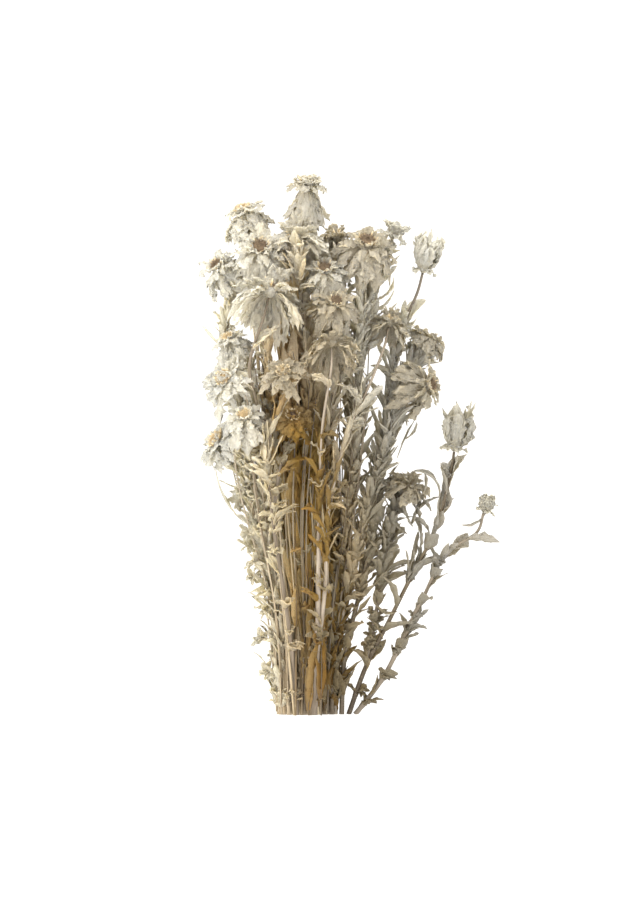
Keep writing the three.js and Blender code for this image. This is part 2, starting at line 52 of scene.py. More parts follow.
# Seeded draws: each state is 16807 times the last one, modulo 2 to the 31 less 1
def makeDrawer(seed):
    state = [seed]

    def draw(low, high):
        state[0] = state[0] * 16807 % 2147483647
        return low + (high - low) * state[0] / 2147483647
    return draw


# Directions across a line: right is the line crossed with upward, near is right crossed with the line
def acrossOf(direction):
    right = unit(np.cross(direction, upward))
    return right, np.cross(right, direction)


# Smooth line through points: cubic pieces in w, whose slopes weigh each neighbour by the root of its distance
def linePoints(points, t):
    given = np.asarray(points, float)
    p = np.vstack([2 * given[0] - given[1], given, 2 * given[-1] - given[-2]])
    root = np.sqrt(np.maximum(np.linalg.norm(np.diff(p, axis=0), axis=1), 1e-6))[:, None]
    place = np.clip(np.atleast_1d(t), 0, 1) * (len(given) - 1)
    k = np.minimum(place.astype(int), len(given) - 2)
    w = (place - k)[:, None]
    a, b, c, d = p[k], p[k + 1], p[k + 2], p[k + 3]
    r0, r1, r2 = root[k], root[k + 1], root[k + 2]
    leave = ((b - a) / r0 - (c - a) / (r0 + r1) + (c - b) / r1) * r1
    arrive = ((c - b) / r1 - (d - b) / (r1 + r2) + (d - c) / r2) * r1
    squared, cubed = 3 * (c - b) - 2 * leave - arrive, 2 * (b - c) + leave + arrive
    return b + leave * w + squared * w ** 2 + cubed * w ** 3


# Directions of the line, by the difference of two near points
def lineDirections(points, t):
    step = 1e-4
    t = np.atleast_1d(t)
    ahead, behind = linePoints(points, np.minimum(t + step, 1)), linePoints(points, np.maximum(t - step, 0))
    return unit(ahead - behind)


# Share of a line's length turned into its parameter, over 200 short chords
def lineShare(points, share):
    t = np.linspace(0, 1, 201)
    chords = np.linalg.norm(np.diff(linePoints(points, t), axis=0), axis=1)
    run = np.concatenate([[0], np.cumsum(chords)])
    return np.interp(np.asarray(share) * run[-1], run, t)


# Bodies gathered for one piece. Faces have four corners, or three and a -1. The uv of a corner is the serial
# number of its sheet or stalk plus the share across, and the share along.
def newBodies():
    return {"corners": [], "faces": [], "looks": [], "smooth": [], "uv": [], "count": 0}


def addBody(bodies, corners, faces, uv, look=0, smooth=True):
    faces = np.asarray(faces)
    if faces.shape[1] == 3:
        faces = np.column_stack([faces, np.full(len(faces), -1)])
    bodies["faces"].append(np.where(faces < 0, -1, faces + bodies["count"]))
    bodies["corners"].append(corners)
    bodies["uv"].append(uv)
    bodies["looks"].append(np.full(len(faces), look))
    bodies["smooth"].append(np.broadcast_to(smooth, len(faces)))
    bodies["count"] += len(corners)


def makePiece(name, bodies, looks, node):
    corners = (np.vstack(bodies["corners"]) - outlineMiddle) * metre
    faces = np.vstack(bodies["faces"])
    used = faces >= 0
    loops = faces[used]
    totals = used.sum(1)
    mesh = bpy.data.meshes.new(name)
    mesh.vertices.add(len(corners))
    mesh.vertices.foreach_set("co", corners.ravel())
    mesh.loops.add(len(loops))
    mesh.loops.foreach_set("vertex_index", loops)
    mesh.polygons.add(len(faces))
    mesh.polygons.foreach_set("loop_start", np.concatenate([[0], np.cumsum(totals)[:-1]]))
    mesh.polygons.foreach_set("loop_total", totals)
    mesh.polygons.foreach_set("material_index", np.concatenate(bodies["looks"]))
    mesh.polygons.foreach_set("use_smooth", np.concatenate(bodies["smooth"]))
    layer = mesh.uv_layers.new(name="grain")
    layer.data.foreach_set("uv", np.vstack(bodies["uv"])[loops].ravel())
    mesh.update(calc_edges=True)
    for look in looks:
        mesh.materials.append(look)
    piece = bpy.data.objects.new(name, mesh)
    bpy.context.scene.collection.objects.link(piece)
    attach(piece, "root")
    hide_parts(node)


# No corner of the body added last goes below the table or past the cut
def keepOnTable(bodies):
    corners = bodies["corners"][-1]
    corners[:, 1:] = np.maximum(corners[:, 1:], 0)


# Faces of a closed skin: rings of corners joined by quads, and at each end a fan round a middle corner
def skinFaces(rings, sides):
    ring, side = np.meshgrid(np.arange(rings - 1), np.arange(sides), indexing="ij")
    a = (ring * sides + side).ravel()
    b = (ring * sides + (side + 1) % sides).ravel()
    k = np.arange(sides)
    onward = (k + 1) % sides
    size, top, none = rings * sides, (rings - 1) * sides, np.full(sides, -1)
    return np.vstack([np.column_stack([a, a + sides, b + sides, b]),
                      np.column_stack([np.full(sides, size), k, onward, none]),
                      np.column_stack([np.full(sides, size + 1), top + onward, top + k, none])])


# Tube along stations: centre plus radius times (right cos turn + near sin turn), ridged as it goes round.
# Radius has one value a station.
def addTube(bodies, centres, directions, radii, sides, serial, look=0, ridge=0.05, ridges=5):
    right, near = acrossOf(directions)
    turn = np.linspace(0, 2 * np.pi, sides, endpoint=False)
    grown = radii[:, None] * (1 + ridge * np.cos(ridges * turn[None] + serial))
    rings = centres[:, None] + grown[..., None] * (right[:, None] * np.cos(turn)[None, :, None]
                                                   + near[:, None] * np.sin(turn)[None, :, None])
    corners = np.vstack([rings.reshape(-1, 3), centres[:1], centres[-1:]])
    faces = skinFaces(len(centres), sides)
    run = np.concatenate([[0], np.cumsum(np.linalg.norm(np.diff(centres, axis=0), axis=1))])
    uv = np.stack(np.broadcast_arrays(serial + 0.98 * turn[None] / (2 * np.pi), run[:, None] / 100), -1)
    uv = np.vstack([uv.reshape(-1, 2), [[serial, 0], [serial, run[-1] / 100]]])
    addBody(bodies, corners, faces, uv, look, np.arange(len(faces)) < len(faces) - 2 * sides)


# Faces of a thin sheet of rows by columns corners: upper side, lower side turned over, and the rim
def sheetFaces(rows, columns):
    i, j = np.meshgrid(np.arange(rows - 1), np.arange(columns - 1), indexing="ij")
    a = (i * columns + j).ravel()
    upper = np.column_stack([a, a + columns, a + columns + 1, a + 1])
    size = rows * columns
    lower = upper[:, ::-1] + size
    grid = np.arange(size).reshape(rows, columns)
    edge = np.concatenate([grid[:, 0], grid[-1, 1:], grid[-2::-1, -1], grid[0, -2:0:-1]])
    onward = np.roll(edge, -1)
    rim = np.column_stack([edge, edge + size, onward + size, onward])
    smooth = np.concatenate([np.ones(2 * len(upper), bool), np.zeros(len(rim), bool)])
    return np.vstack([upper, lower, rim]), smooth


# Half widths of a sheet along it, as shares of half its width
petalProfile = lambda u: (0.3 + 0.7 * np.sin(np.pi * 0.78 * u)) * np.sqrt(1 - u ** 8)
leafProfile = lambda u: 0.26 * (1 - u) + np.sin(np.pi * u ** 0.85)
stripProfile = lambda u: (0.3 + 0.7 * np.sin(np.pi * (0.1 + 0.72 * u))) * np.sqrt(1 - u ** 6)


# How a sheet is worked: its grid, its thickness in mm, and the rest in shares of its half width
def sheetWork(profile, *values):
    names = ("rows", "columns", "thick", "crinkle", "ragged", "twist", "pleat", "waves", "notch", "tip")
    return {"profile": profile, **dict(zip(names, values))}


petalWork = sheetWork(petalProfile, 11, 4, 0.2, 0.36, 0.34, 0.8, 0.1, 6, 0.16, 0.965)
leafWork = sheetWork(leafProfile, 8, 5, 0.25, 0.32, 0.2, 1.0, 0.0, 5, 0.02, 0.97)
tuftWork = sheetWork(stripProfile, 6, 5, 0.22, 0.4, 0.24, 1.3, 0.0, 4, 0.1, 0.96)
stripWork = sheetWork(stripProfile, 7, 3, 0.2, 0.3, 0.3, 1.0, 0.0, 4, 0.1, 0.96)
filmWork = sheetWork(stripProfile, 9, 3, 0.2, 0.12, 0.14, 0.6, 0.06, 4, 0.1, 0.96)
lanceWork = sheetWork(leafProfile, 9, 5, 0.22, 0.13, 0.06, 0.8, 0.0, 4, 0.0, 0.97)
scaleWork = sheetWork(leafProfile, 4, 3, 0.2, 0.1, 0.0, 0.4, 0.0, 2, 0.0, 0.95)


# Crinkled papery sheets, all at once. A midline of each turns evenly from its start angle to its end
# angle, measured from axis towards outward. Across it, the sheet is as wide as its profile times ragged
# sines, and it is lifted by cup times the square of the share across, by waves that grow to the edges, by
# pleats that run lengthwise, and by a sum of plane waves in random directions. The whole is twisted along
# its length.
def addSheets(bodies, blades, work, look=0, seed=1, serial=0):
    count = len(blades)
    if count == 0:
        return
    rng = np.random.default_rng(seed)
    rows, columns = work["rows"], work["columns"]
    column = lambda key: np.array([blade[key] for blade in blades], float)[:, None, None]
    vector = lambda key: np.array([blade[key] for blade in blades], float)[:, None, None, :]
    chance = lambda low, high, *more: rng.uniform(low, high, (count, *(more or (1, 1))))
    v = np.linspace(-1, 1, columns)[None, None, :]
    u = np.linspace(0, 1, rows)[None, :, None] ** 0.9
    u = u * work["tip"] * (1 - u ** 6 * work["notch"] * (v ** 2 + 0.6 * np.sin(6 * v + chance(0, 6.3))))
    u = np.minimum(u, 0.993)  # past that the profiles have no width
    start, end, length, width, cup, phase = map(column, ("start", "end", "length", "width", "cup", "phase"))
    turning = np.where(np.abs(end - start) < 0.01, 0.01, end - start)
    angle = start + turning * u
    out = length * (np.cos(start) - np.cos(angle)) / turning
    along = length * (np.sin(angle) - np.sin(start)) / turning
    axis, outward = vector("axis"), vector("outward")
    side = np.cross(axis, outward)
    tangent = outward * np.sin(angle)[..., None] + axis * np.cos(angle)[..., None]
    normal = np.cross(tangent, side)
    half = width / 2 * work["profile"](u)
    share = np.abs(v)
    ragged = 0.6 * np.sin(19 * u + chance(0, 6.3) + v) + 0.4 * np.sin(37 * u + chance(0, 6.3) - 2 * v)
    half = half * (1 + work["ragged"] * share ** 3 * ragged)
    wave = 0.22 * half * np.minimum(1, 4 * u) * share ** 1.5
    lift = cup * half * v ** 2 + wave * np.where(v > 0, np.sin(phase + 7 * u), np.sin(phase + 2.2 + 8 * u))
    lift = lift + work["pleat"] * half * np.cos(chance(7, 11) * v + chance(0, 6.3)) * np.minimum(1, 3 * u)
    aspect = length / width
    for k in range(work["waves"]):
        bearing, beat = chance(0, np.pi), chance(2.2, 5.5) * (1 + 0.35 * k)
        ripple = np.sin(beat * (np.cos(bearing) * 2 * aspect * u + np.sin(bearing) * v) + chance(0, 6.3))
        lift = lift + work["crinkle"] * half * ripple * (0.35 + 0.65 * share) / (1 + 0.35 * k)
    twist = work["twist"] * chance(-1, 1) * u ** 1.5
    sideways = v * half * np.cos(twist) - lift * np.sin(twist)
    raised = v * half * np.sin(twist) + lift * np.cos(twist)
    middle = vector("root") + outward * out[..., None] + axis * along[..., None]
    surface = middle + side * sideways[..., None] + normal * raised[..., None]
    surface[..., 1:] = np.maximum(surface[..., 1:], work["thick"])
    skin = work["thick"] / 2 * unit(np.cross(np.gradient(surface, axis=1), np.gradient(surface, axis=2)))
    corners = np.stack([surface + skin, surface - skin], 1).reshape(-1, 3)
    faces, smooth = sheetFaces(rows, columns)
    offsets = np.arange(count) * 2 * rows * columns
    faces = (faces[None] + offsets[:, None, None]).reshape(-1, 4)
    serials = serial + np.arange(count)[:, None, None]
    along = np.linspace(0, 1, rows)[None, :, None]
    uv = np.stack(np.broadcast_arrays(serials + 0.49 * (v + 1), along), -1)
    uv = np.repeat(uv[:, None], 2, axis=1).reshape(-1, 2)
    addBody(bodies, corners, faces, uv, look, np.tile(smooth, count))


# Body turned about an axis: radius and height of the profile go round in even steps, ribbed by a cosine
def addTurned(bodies, profile, frameAt, sides, serial, look=0, ribs=0, rib=0.0):
    origin, axis, right, near, size = frameAt
    profile = np.asarray(profile, float) * size
    turn = np.linspace(0, 2 * np.pi, sides, endpoint=False)
    radii = profile[1:-1, 0][:, None] * (1 + rib * np.cos(ribs * turn))[None]
    rings = (origin + axis * profile[1:-1, 1][:, None, None]
             + radii[..., None] * (right * np.cos(turn)[None, :, None] + near * np.sin(turn)[None, :, None]))
    corners = np.vstack([rings.reshape(-1, 3), origin + axis * profile[0, 1], origin + axis * profile[-1, 1]])
    uv = np.stack(np.broadcast_arrays(serial + 0.98 * turn[None] / 6.3, profile[1:-1, 1][:, None] / 10), -1)
    uv = np.vstack([uv.reshape(-1, 2), [[serial, 0], [serial, 1]]])
    addBody(bodies, corners, skinFaces(len(profile) - 2, sides), uv, look)


print("bunch: shape functions are ready")


# How the stems lie at the cut ends and open out above them, as in the solids
pile = {"middle": -29, "opens": (20, 210), "across": 0.9, "up": 1.7, "gap": 0.25, "sunk": 0.2,
        "order": ["far_left", "straw_sheaf_back:0", "low_middle", "right_inner", "right_tall", "right_pod",
                  "far_right", "straw_sheaf_back:1", "left", "centre_right", "right_middle",
                  "straw_sheaf_core:0", "left_curved", "straw_sheaf_core:1", "centre_left", "front_left",
                  "top_middle", "front"]}
stem = {"radius": 2.2, "frontRadius": 2.9, "tip": 0.9, "taper": 1.3, "neck": 14, "branchShare": 0.7,
        "sides": 12, "stations": 70, "branchStations": 36}
straw = {"radius": 2.3, "tip": 0.9, "pitch": 4.2, "length": (188, 232), "sway": 1.6,
         "rows": {"straw_sheaf_back": [(-44.15, 7), (-42.05, 6)],
                  "straw_sheaf_core": [(-39.95, 5), (-37.85, 4)]}}

# Blooms: place of the stem's end, direction that the bloom faces, style and size
blooms = {
    1: ((-29, 368, 36), (0.05, 0.98, 0.15), "bell", 0.9),
    2: ((-72, 349, 38), (-0.35, 0.9, 0.2), "skirt", 0.95),
    3: ((-61, 324, 66), (-0.1, 0.62, 0.78), "skirt", 1.0),
    4: ((-89, 312, 46), (-0.6, 0.6, 0.5), "skirt", 0.85),
    5: ((-37, 331, 60), (-0.1, 0.86, -0.5), "parasol", 0.9),
    6: ((-16, 309, 64), (-0.1, 0.75, 0.65), "skirt", 0.85),
    7: ((-56, 292, 76), (0.2, 0.88, -0.38), "parasol", 1.2),
    8: ((-9, 286, 76), (0.1, 0.7, 0.65), "skirt", 0.8),
    9: ((12, 326, 62), (0.1, 0.75, 0.6), "skirt", 1.1),
    10: ((-8, 331, 46), (-0.1, 0.9, -0.4), "parasol", 0.8),
    11: ((30, 334, 34), (0.35, 0.9, 0.1), "erect", 0.85),
    12: ((52, 310, 36), (0.25, 0.93, 0.2), "pod", 0.9),
    13: ((-12, 257, 76), (0, 0.85, -0.45), "parasol", 0.85),
    14: ((-84, 234, 62), (-0.5, 0.4, 0.75), "open", 0.95),
    15: ((28, 272, 46), (0.2, 0.9, -0.3), "parasol", 0.8),
    16: ((55, 261, 26), (0.5, 0.75, 0.1), "cap", 0.95),
    17: ((52, 231, 52), (0.85, 0.15, 0.45), "skirt", 0.9),
    18: ((-45, 238, 84), (-0.1, 0.6, 0.75), "open", 0.75),
    19: ((-39, 207, 63), (0, 0.6, 0.75), "open", 0.7),
    20: ((74, 185, 34), (0.15, 0.97, 0.1), "pod", 1.0),
    21: ((95, 142, 20), (0.3, 0.92, 0.15), "bud", 0.8),
    22: ((40, 160, 20), (0.4, 0.75, 0.4), "cap", 0.75),
    23: ((-82, 260, 44), (-0.5, 0.8, 0.3), "skirt", 0.8),
    24: ((-72, 207, 72), (-0.2, 0.7, 0.65), "skirt", 0.75),
    25: ((-88, 190, 22), (-0.7, 0.5, 0.4), "open", 1.0),
}

# Stems: x at the cut, heights at which they follow the opening bunch, onward points, bloom, and the fork's
# point, onward points and bloom
stems = [
    ("far_left", -49, [35, 80], [(-64, 140, 8), (-71, 165, 16), (-78, 215, 27), (-86, 265, 28)], 4,
     ((-71, 165, 16), [], 25)),
    ("low_middle", -14.1, [35, 80], [(-1, 140, 5), (1, 200, 12), (-2, 265, 30)], 10, None),
    ("right_inner", -9.35, [], [(-8.5, 40, 2.6), (0, 90, 12), (12, 140, 27), (27, 190, 42)], 17, None),
    ("right_tall", -4.6, [], [(-2.5, 40, 2.6), (9, 90, 8), (19, 140, 15), (28, 221, 26), (37, 270, 32)], 12,
     ((28, 221, 26), [], 16)),
    ("right_pod", 0.15, [], [(12, 33, 4), (29, 67, 8), (45, 99, 14), (61, 130, 22)], 20,
     ((12, 33, 4), [(20, 75, 7), (27, 118, 12)], 22)),
    ("far_right", 4.9, [], [(24, 25, 4), (38, 52, 6), (54, 85, 10), (69, 114, 15)], 21, None),
    ("left", -47.3, [35, 80], [(-66, 140, 22), (-72, 172, 42)], 14, ((-72, 172, 42), [], 24)),
    ("centre_right", -16.6, [35, 80, 140], [(-14, 180, 40), (-11, 225, 50), (-15, 268, 54)], 6,
     ((-11, 225, 50), [(-3, 252, 56)], 8)),
    ("right_middle", -11.8, [35, 80], [(0, 140, 22), (5, 190, 36), (8, 235, 44), (9, 285, 52)], 9,
     ((8, 235, 44), [(14, 285, 36)], 11)),
    ("left_curved", -45.2, [35, 80], [(-58, 140, 30), (-62, 180, 46), (-63, 212, 57), (-69, 245, 72)], 7,
     ((-63, 212, 57), [], 23)),
    ("centre_left", -41.6, [35, 80, 140], [(-52, 190, 42), (-56, 245, 48), (-58, 285, 50)], 3,
     ((-56, 245, 48), [(-66, 290, 40)], 2)),
    ("front_left", -36.4, [], [(-39, 40, 21), (-45, 85, 33), (-53, 138, 50), (-56, 190, 64)], 18,
     ((-53, 138, 50), [(-47, 176, 54)], 19)),
    ("top_middle", -31.2, [35, 80, 140], [(-30, 190, 46), (-27, 235, 48), (-32, 275, 44)], 1,
     ((-32, 275, 44), [], 5)),
    ("front", -25.2, [], [(-22, 43, 22), (-21, 105, 36), (-20, 165, 54), (-18, 205, 66)], 13,
     ((-22, 43, 22), [(-16.5, 88, 34), (-13, 150, 52), (0, 198, 60), (16, 235, 60)], 15)),
]


# A point of the cut end, opened out: a smooth step of the height widens x about the middle and raises z
def openedOut(x, z, y):
    low, high = pile["opens"]
    rise = np.clip((y - low) / (high - low), 0, 1)
    share = rise * rise * (3 - 2 * rise)
    wider = pile["middle"] + (x - pile["middle"]) * (1 + pile["across"] * share)
    return np.array([wider, y, z * (1 + pile["up"] * share)])


# Circles settle one by one: each comes to rest on the table, or on those below by the chord between centres
def settlePile():
    settled = []

    def drop(owner, x, radius):
        z = radius * np.cos(np.pi / 5) - pile["sunk"]
        for other, otherX, otherZ, otherRadius in settled:
            gap = straw["pitch"] - 2 * straw["radius"] if other == owner else pile["gap"]
            reach = radius + otherRadius + gap
            if abs(x - otherX) < reach:
                z = max(z, otherZ + np.sqrt(reach ** 2 - (x - otherX) ** 2))
        settled.append((owner, x, z, radius))

    cutX = {name: x for name, x, *more in stems}
    for entry in pile["order"]:
        owner, _, row = entry.partition(":")
        if row:
            firstX, count = straw["rows"][owner][int(row)]
            for k in range(count):
                drop(owner, firstX + k * straw["pitch"], straw["radius"])
        else:
            drop(owner, cutX[owner], stem["frontRadius"] if owner == "front" else stem["radius"])
    return settled


settled = settlePile()


# Line to a bloom: the given points, then a straight neck in line with the bloom
def routeTo(points, bloom):
    end, facing = np.array(blooms[bloom][0], float), unit(np.array(blooms[bloom][1]))
    return np.vstack([points, end - stem["neck"] * facing, end])


# Lines of a stem and its branch, with the radius at the foot of each
def stemLines(name, cutX, follows, onward, bloom, fork):
    x, z, radius = next(one[1:] for one in settled if one[0] == name)
    points = [np.array([x, 0.0, z])] + [openedOut(x, z, height) for height in follows]
    points += [np.array(place, float) for place in onward]
    points.insert(0, points[0] * 1.1 - points[1] * 0.1)
    lines = [(routeTo(points, bloom), radius)]
    if fork:
        place, further, forkBloom = fork
        lines.append((routeTo([place, *further], forkBloom), radius * stem["branchShare"]))
    return lines


# Blades of a solid were bent clear of their neighbours. Of the poses given, the one whose tip and last two
# edge corners lie nearest the solid's own corners is the pose that it took, or none if all lie too far off.
def takenPose(solidCorners, poses, lastShare, profile):
    best, nearest = None, 1.3
    for pose in poses:
        start, end, length = pose["start"], pose["end"], pose["length"]
        turning = end - start
        side = np.cross(pose["axis"], pose["outward"])
        marks = []
        for u in (1.0, lastShare):
            angle = start + turning * u
            out = length * (np.cos(start) - np.cos(angle)) / turning
            along = length * (np.sin(angle) - np.sin(start)) / turning
            middle = pose["root"] + pose["outward"] * out + pose["axis"] * along
            if u == 1:
                marks.append(middle)
                continue
            normal = np.cross(pose["outward"] * np.sin(angle) + pose["axis"] * np.cos(angle), side)
            half = pose["width"] / 2 * profile(u)
            wave = 0.22 * half * min(1, 4 * u)
            lifts = {1: np.sin(pose["phase"] + 7 * u), -1: np.sin(pose["phase"] + 2.2 + 8 * u)}
            for hand, lift in lifts.items():
                marks.append(middle + side * half * hand + normal * (pose["cup"] * half + wave * lift))
        away = np.linalg.norm(solidCorners[None] - np.array(marks)[:, None], axis=2).min(1).mean()
        if away < nearest:
            best, nearest = pose, away
    return best


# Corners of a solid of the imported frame, in the bunch's own millimetres
def solidCornersOf(node):
    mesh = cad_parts[node].data
    corners = np.empty(len(mesh.vertices) * 3, np.float32)
    mesh.vertices.foreach_get("co", corners)
    return np.unique(np.round(corners.reshape(-1, 3) / metre + outlineMiddle, 3), axis=0)


# Rings of petals as in the solids: count, root (radius, height), angles in degrees, length, width, cup, and
# the gap in degrees that is left towards the viewer, where the stem passes in front
solidRings = {
    "skirt": [(6, (3.6, 3.2), (112, 168), 30, 14, -0.4, 0), (3, (4.6, 3.4), (14, 52), 9, 6, 0.3, 0)],
    "bell": [(6, (3.6, 3.2), (132, 176), 34, 15, -0.45, 0), (5, (4.6, 3.4), (20, 84), 13, 8, 0.2, 0)],
    "parasol": [(6, (3.6, 3.2), (106, 162), 30, 15, -0.35, 76), (3, (4.6, 3.4), (14, 52), 9, 6, 0.3, 0)],
    "open": [(6, (3.6, 3.2), (72, 118), 19, 11, -0.2, 0), (3, (4.6, 3.4), (14, 52), 8, 6, 0.3, 0)],
    "erect": [(7, (3.8, 3.2), (24, 66), 15, 8, 0.3, 0)],
    "cap": [(6, (3.4, 3.2), (84, 168), 26, 13, -0.4, 0)],
    "pod": [(5, (3.4, 3.0), (52, -26), 31, 13, 0.45, 0), (2, (2.6, 3.4), (16, 40), 33, 7, 0.3, 0)],
    "bud": [(5, (3.2, 2.8), (58, -45), 17, 10, 0.45, 0)],
}
# Poses that were tried for each blade: degrees of further bend or swing, and share of its length
petalBends = [(0, 1), (-22, 1), (-45, 0.9), (14, 0.9), (0, 0.7), (-35, 0.7), (-60, 0.7), (0, 0.5), (-40, 0.5)]
leafBends = [(0, 1), (35, 1), (-35, 1), (70, 1), (-70, 1), (0, 0.7), (60, 0.7), (-60, 0.7), (120, 0.8),
             (-120, 0.8)]


# Middle of a bloom's root, the way that it faces, two directions across, and its size
def bloomFrame(number):
    at, facing, style, size = blooms[number]
    axis = unit(np.array(facing))
    right, near = acrossOf(axis)
    return np.array(at) + 0.3 * axis, axis, right, near, size


# A turn round the bloom, squeezed into what the gap towards the viewer leaves
def pastGap(turned, gap):
    return np.pi / 2 + gap * degree / 2 + turned * (1 - gap / 360) if gap else turned


shortPetal = 12  # petals up to this length have fewer corners in the solids


# Petals of a bloom in the poses that its solid has. The draws and their order are those of the solid.
def solidPetals(number):
    origin, axis, right, near, size = bloomFrame(number)
    corners = solidCornersOf("bloom_%02d" % number)
    draw = makeDrawer(1000 + 37 * number)
    petals = []
    for count, root, angles, length, width, cup, gap in solidRings[blooms[number][2]]:
        for k in range(count):
            around = pastGap(((k + draw(-0.22, 0.22)) / count) * 2 * np.pi + draw(0, 0.4), gap)
            outward = right * np.cos(around) + near * np.sin(around)
            start, end = (angles[0] + draw(-7, 7)) * degree, (angles[1] + draw(-12, 9)) * degree
            petal = {"root": origin + outward * root[0] * size + axis * root[1] * size, "axis": axis,
                     "outward": outward, "start": start, "end": end,
                     "length": length * size * draw(0.82, 1.1),
                     "width": width * size * draw(0.85, 1.12), "cup": cup, "phase": draw(0, 6.28)}
            poses = [{**petal, "end": end + fold * degree, "length": petal["length"] * shorter}
                     for fold, shorter in petalBends]
            taken = takenPose(corners, poses, 0.8 if length > shortPetal else 0.6, petalProfile)
            if taken:
                petals.append(taken)
    return petals


leafFold = 0.8  # how far the edges of the large leaves fold up
ownLeaves = ((7, 0.16, 0.94), (2, 0.3, 0.94))  # on a stem and its fork: count, lowest and highest share


# Leaves of a stem in the poses that its solid has. The draws and their order are those of the solid.
def solidLeaves(index, name, lines):
    corners = solidCornersOf("stem_" + name)
    draw = makeDrawer(4000 + 53 * index)
    leaves = []
    for which, (points, _) in enumerate(lines):
        count, lowest, highest = ownLeaves[which]
        for k in range(count):
            t = lineShare(points, lowest + (highest - lowest) * (k + draw(0.2, 0.8)) / count)
            axis = lineDirections(points, t)[0]
            right, near = acrossOf(axis)
            around = 2.4 * k + draw(0, 1.6) + index
            outward = right * np.cos(around) + near * np.sin(around)
            leaf = {"root": linePoints(points, t)[0], "axis": axis, "outward": outward,
                    "start": draw(20, 34) * degree, "end": draw(42, 100) * degree, "length": draw(18, 28),
                    "width": draw(7, 10), "cup": 0.3, "phase": draw(0, 6.28)}
            poses = []
            for swing, shorter in leafBends:
                swung = outward * np.cos(swing * degree) + np.cross(axis, outward) * np.sin(swing * degree)
                poses.append({**leaf, "outward": swung, "length": leaf["length"] * shorter})
            taken = takenPose(corners, poses, 0.7, leafProfile)
            if taken:
                root = taken["root"] + upward * raisedBy(name, which, t)
                leaves.append({**taken, "root": root, "cup": leafFold})
    return leaves


# A blade of the solid is torn lengthwise into narrower ones that fan out over its width, each a little
# shorter or more bent than the next
def tornBlades(rng, blades, narrow, bends, shortest, spread=0.3):
    torn = []
    for blade in blades:
        parts = max(2, int(blade["width"] / narrow + 0.5))
        for part in np.linspace(-1, 1, parts):
            turn = part * spread * blade["width"] / (0.6 * blade["length"] + 3)
            side = np.cross(blade["axis"], blade["outward"])
            outward = blade["outward"] * np.cos(turn) + side * np.sin(turn)
            bend = rng.uniform(-bends, bends) * degree
            torn.append({**blade, "outward": outward, "start": blade["start"] + 0.5 * bend,
                         "end": blade["end"] + bend, "length": blade["length"] * rng.uniform(shortest, 1.04),
                         "width": blade["width"] * rng.uniform(0.95, 1.25) / (0.5 + 0.5 * parts),
                         "phase": blade["phase"] + part})
    return torn


# Stems (0) and forks (1) that pass in front of petals and leaves: millimetres that each is raised by, and the
# share of its line where that begins
inFront = {("left_curved", 0): (7, 0.5), ("top_middle", 1): (7, 0.5), ("low_middle", 0): (6, 0.5),
           ("front", 0): (15, 0.0), ("front", 1): (13, 0.0), ("front_left", 0): (13, 0.0),
           ("centre_left", 0): (5, 0.5), ("far_left", 0): (5, 0.5)}
lines = {one[0]: stemLines(*one) for one in stems}


# Half a sine wave over the raised part. A fork also starts as high as its stem is raised there.
def raisedBy(name, which, t):
    lift, begins = inFront.get((name, which), (0, 0))
    raised = lift * np.sin(np.pi * np.clip((t - begins) / (1 - begins), 0, 1)) ** 1.3
    if which == 1:
        main = lines[name][0][0]
        meeting = np.linalg.norm(main - lines[name][1][0][0], axis=1).argmin() / (len(main) - 1)
        raised = raised + raisedBy(name, 0, meeting) * (1 - t) ** 3
    return raised


print("bunch: stems routed, sheaf and stems settled at the cut:", len(settled))


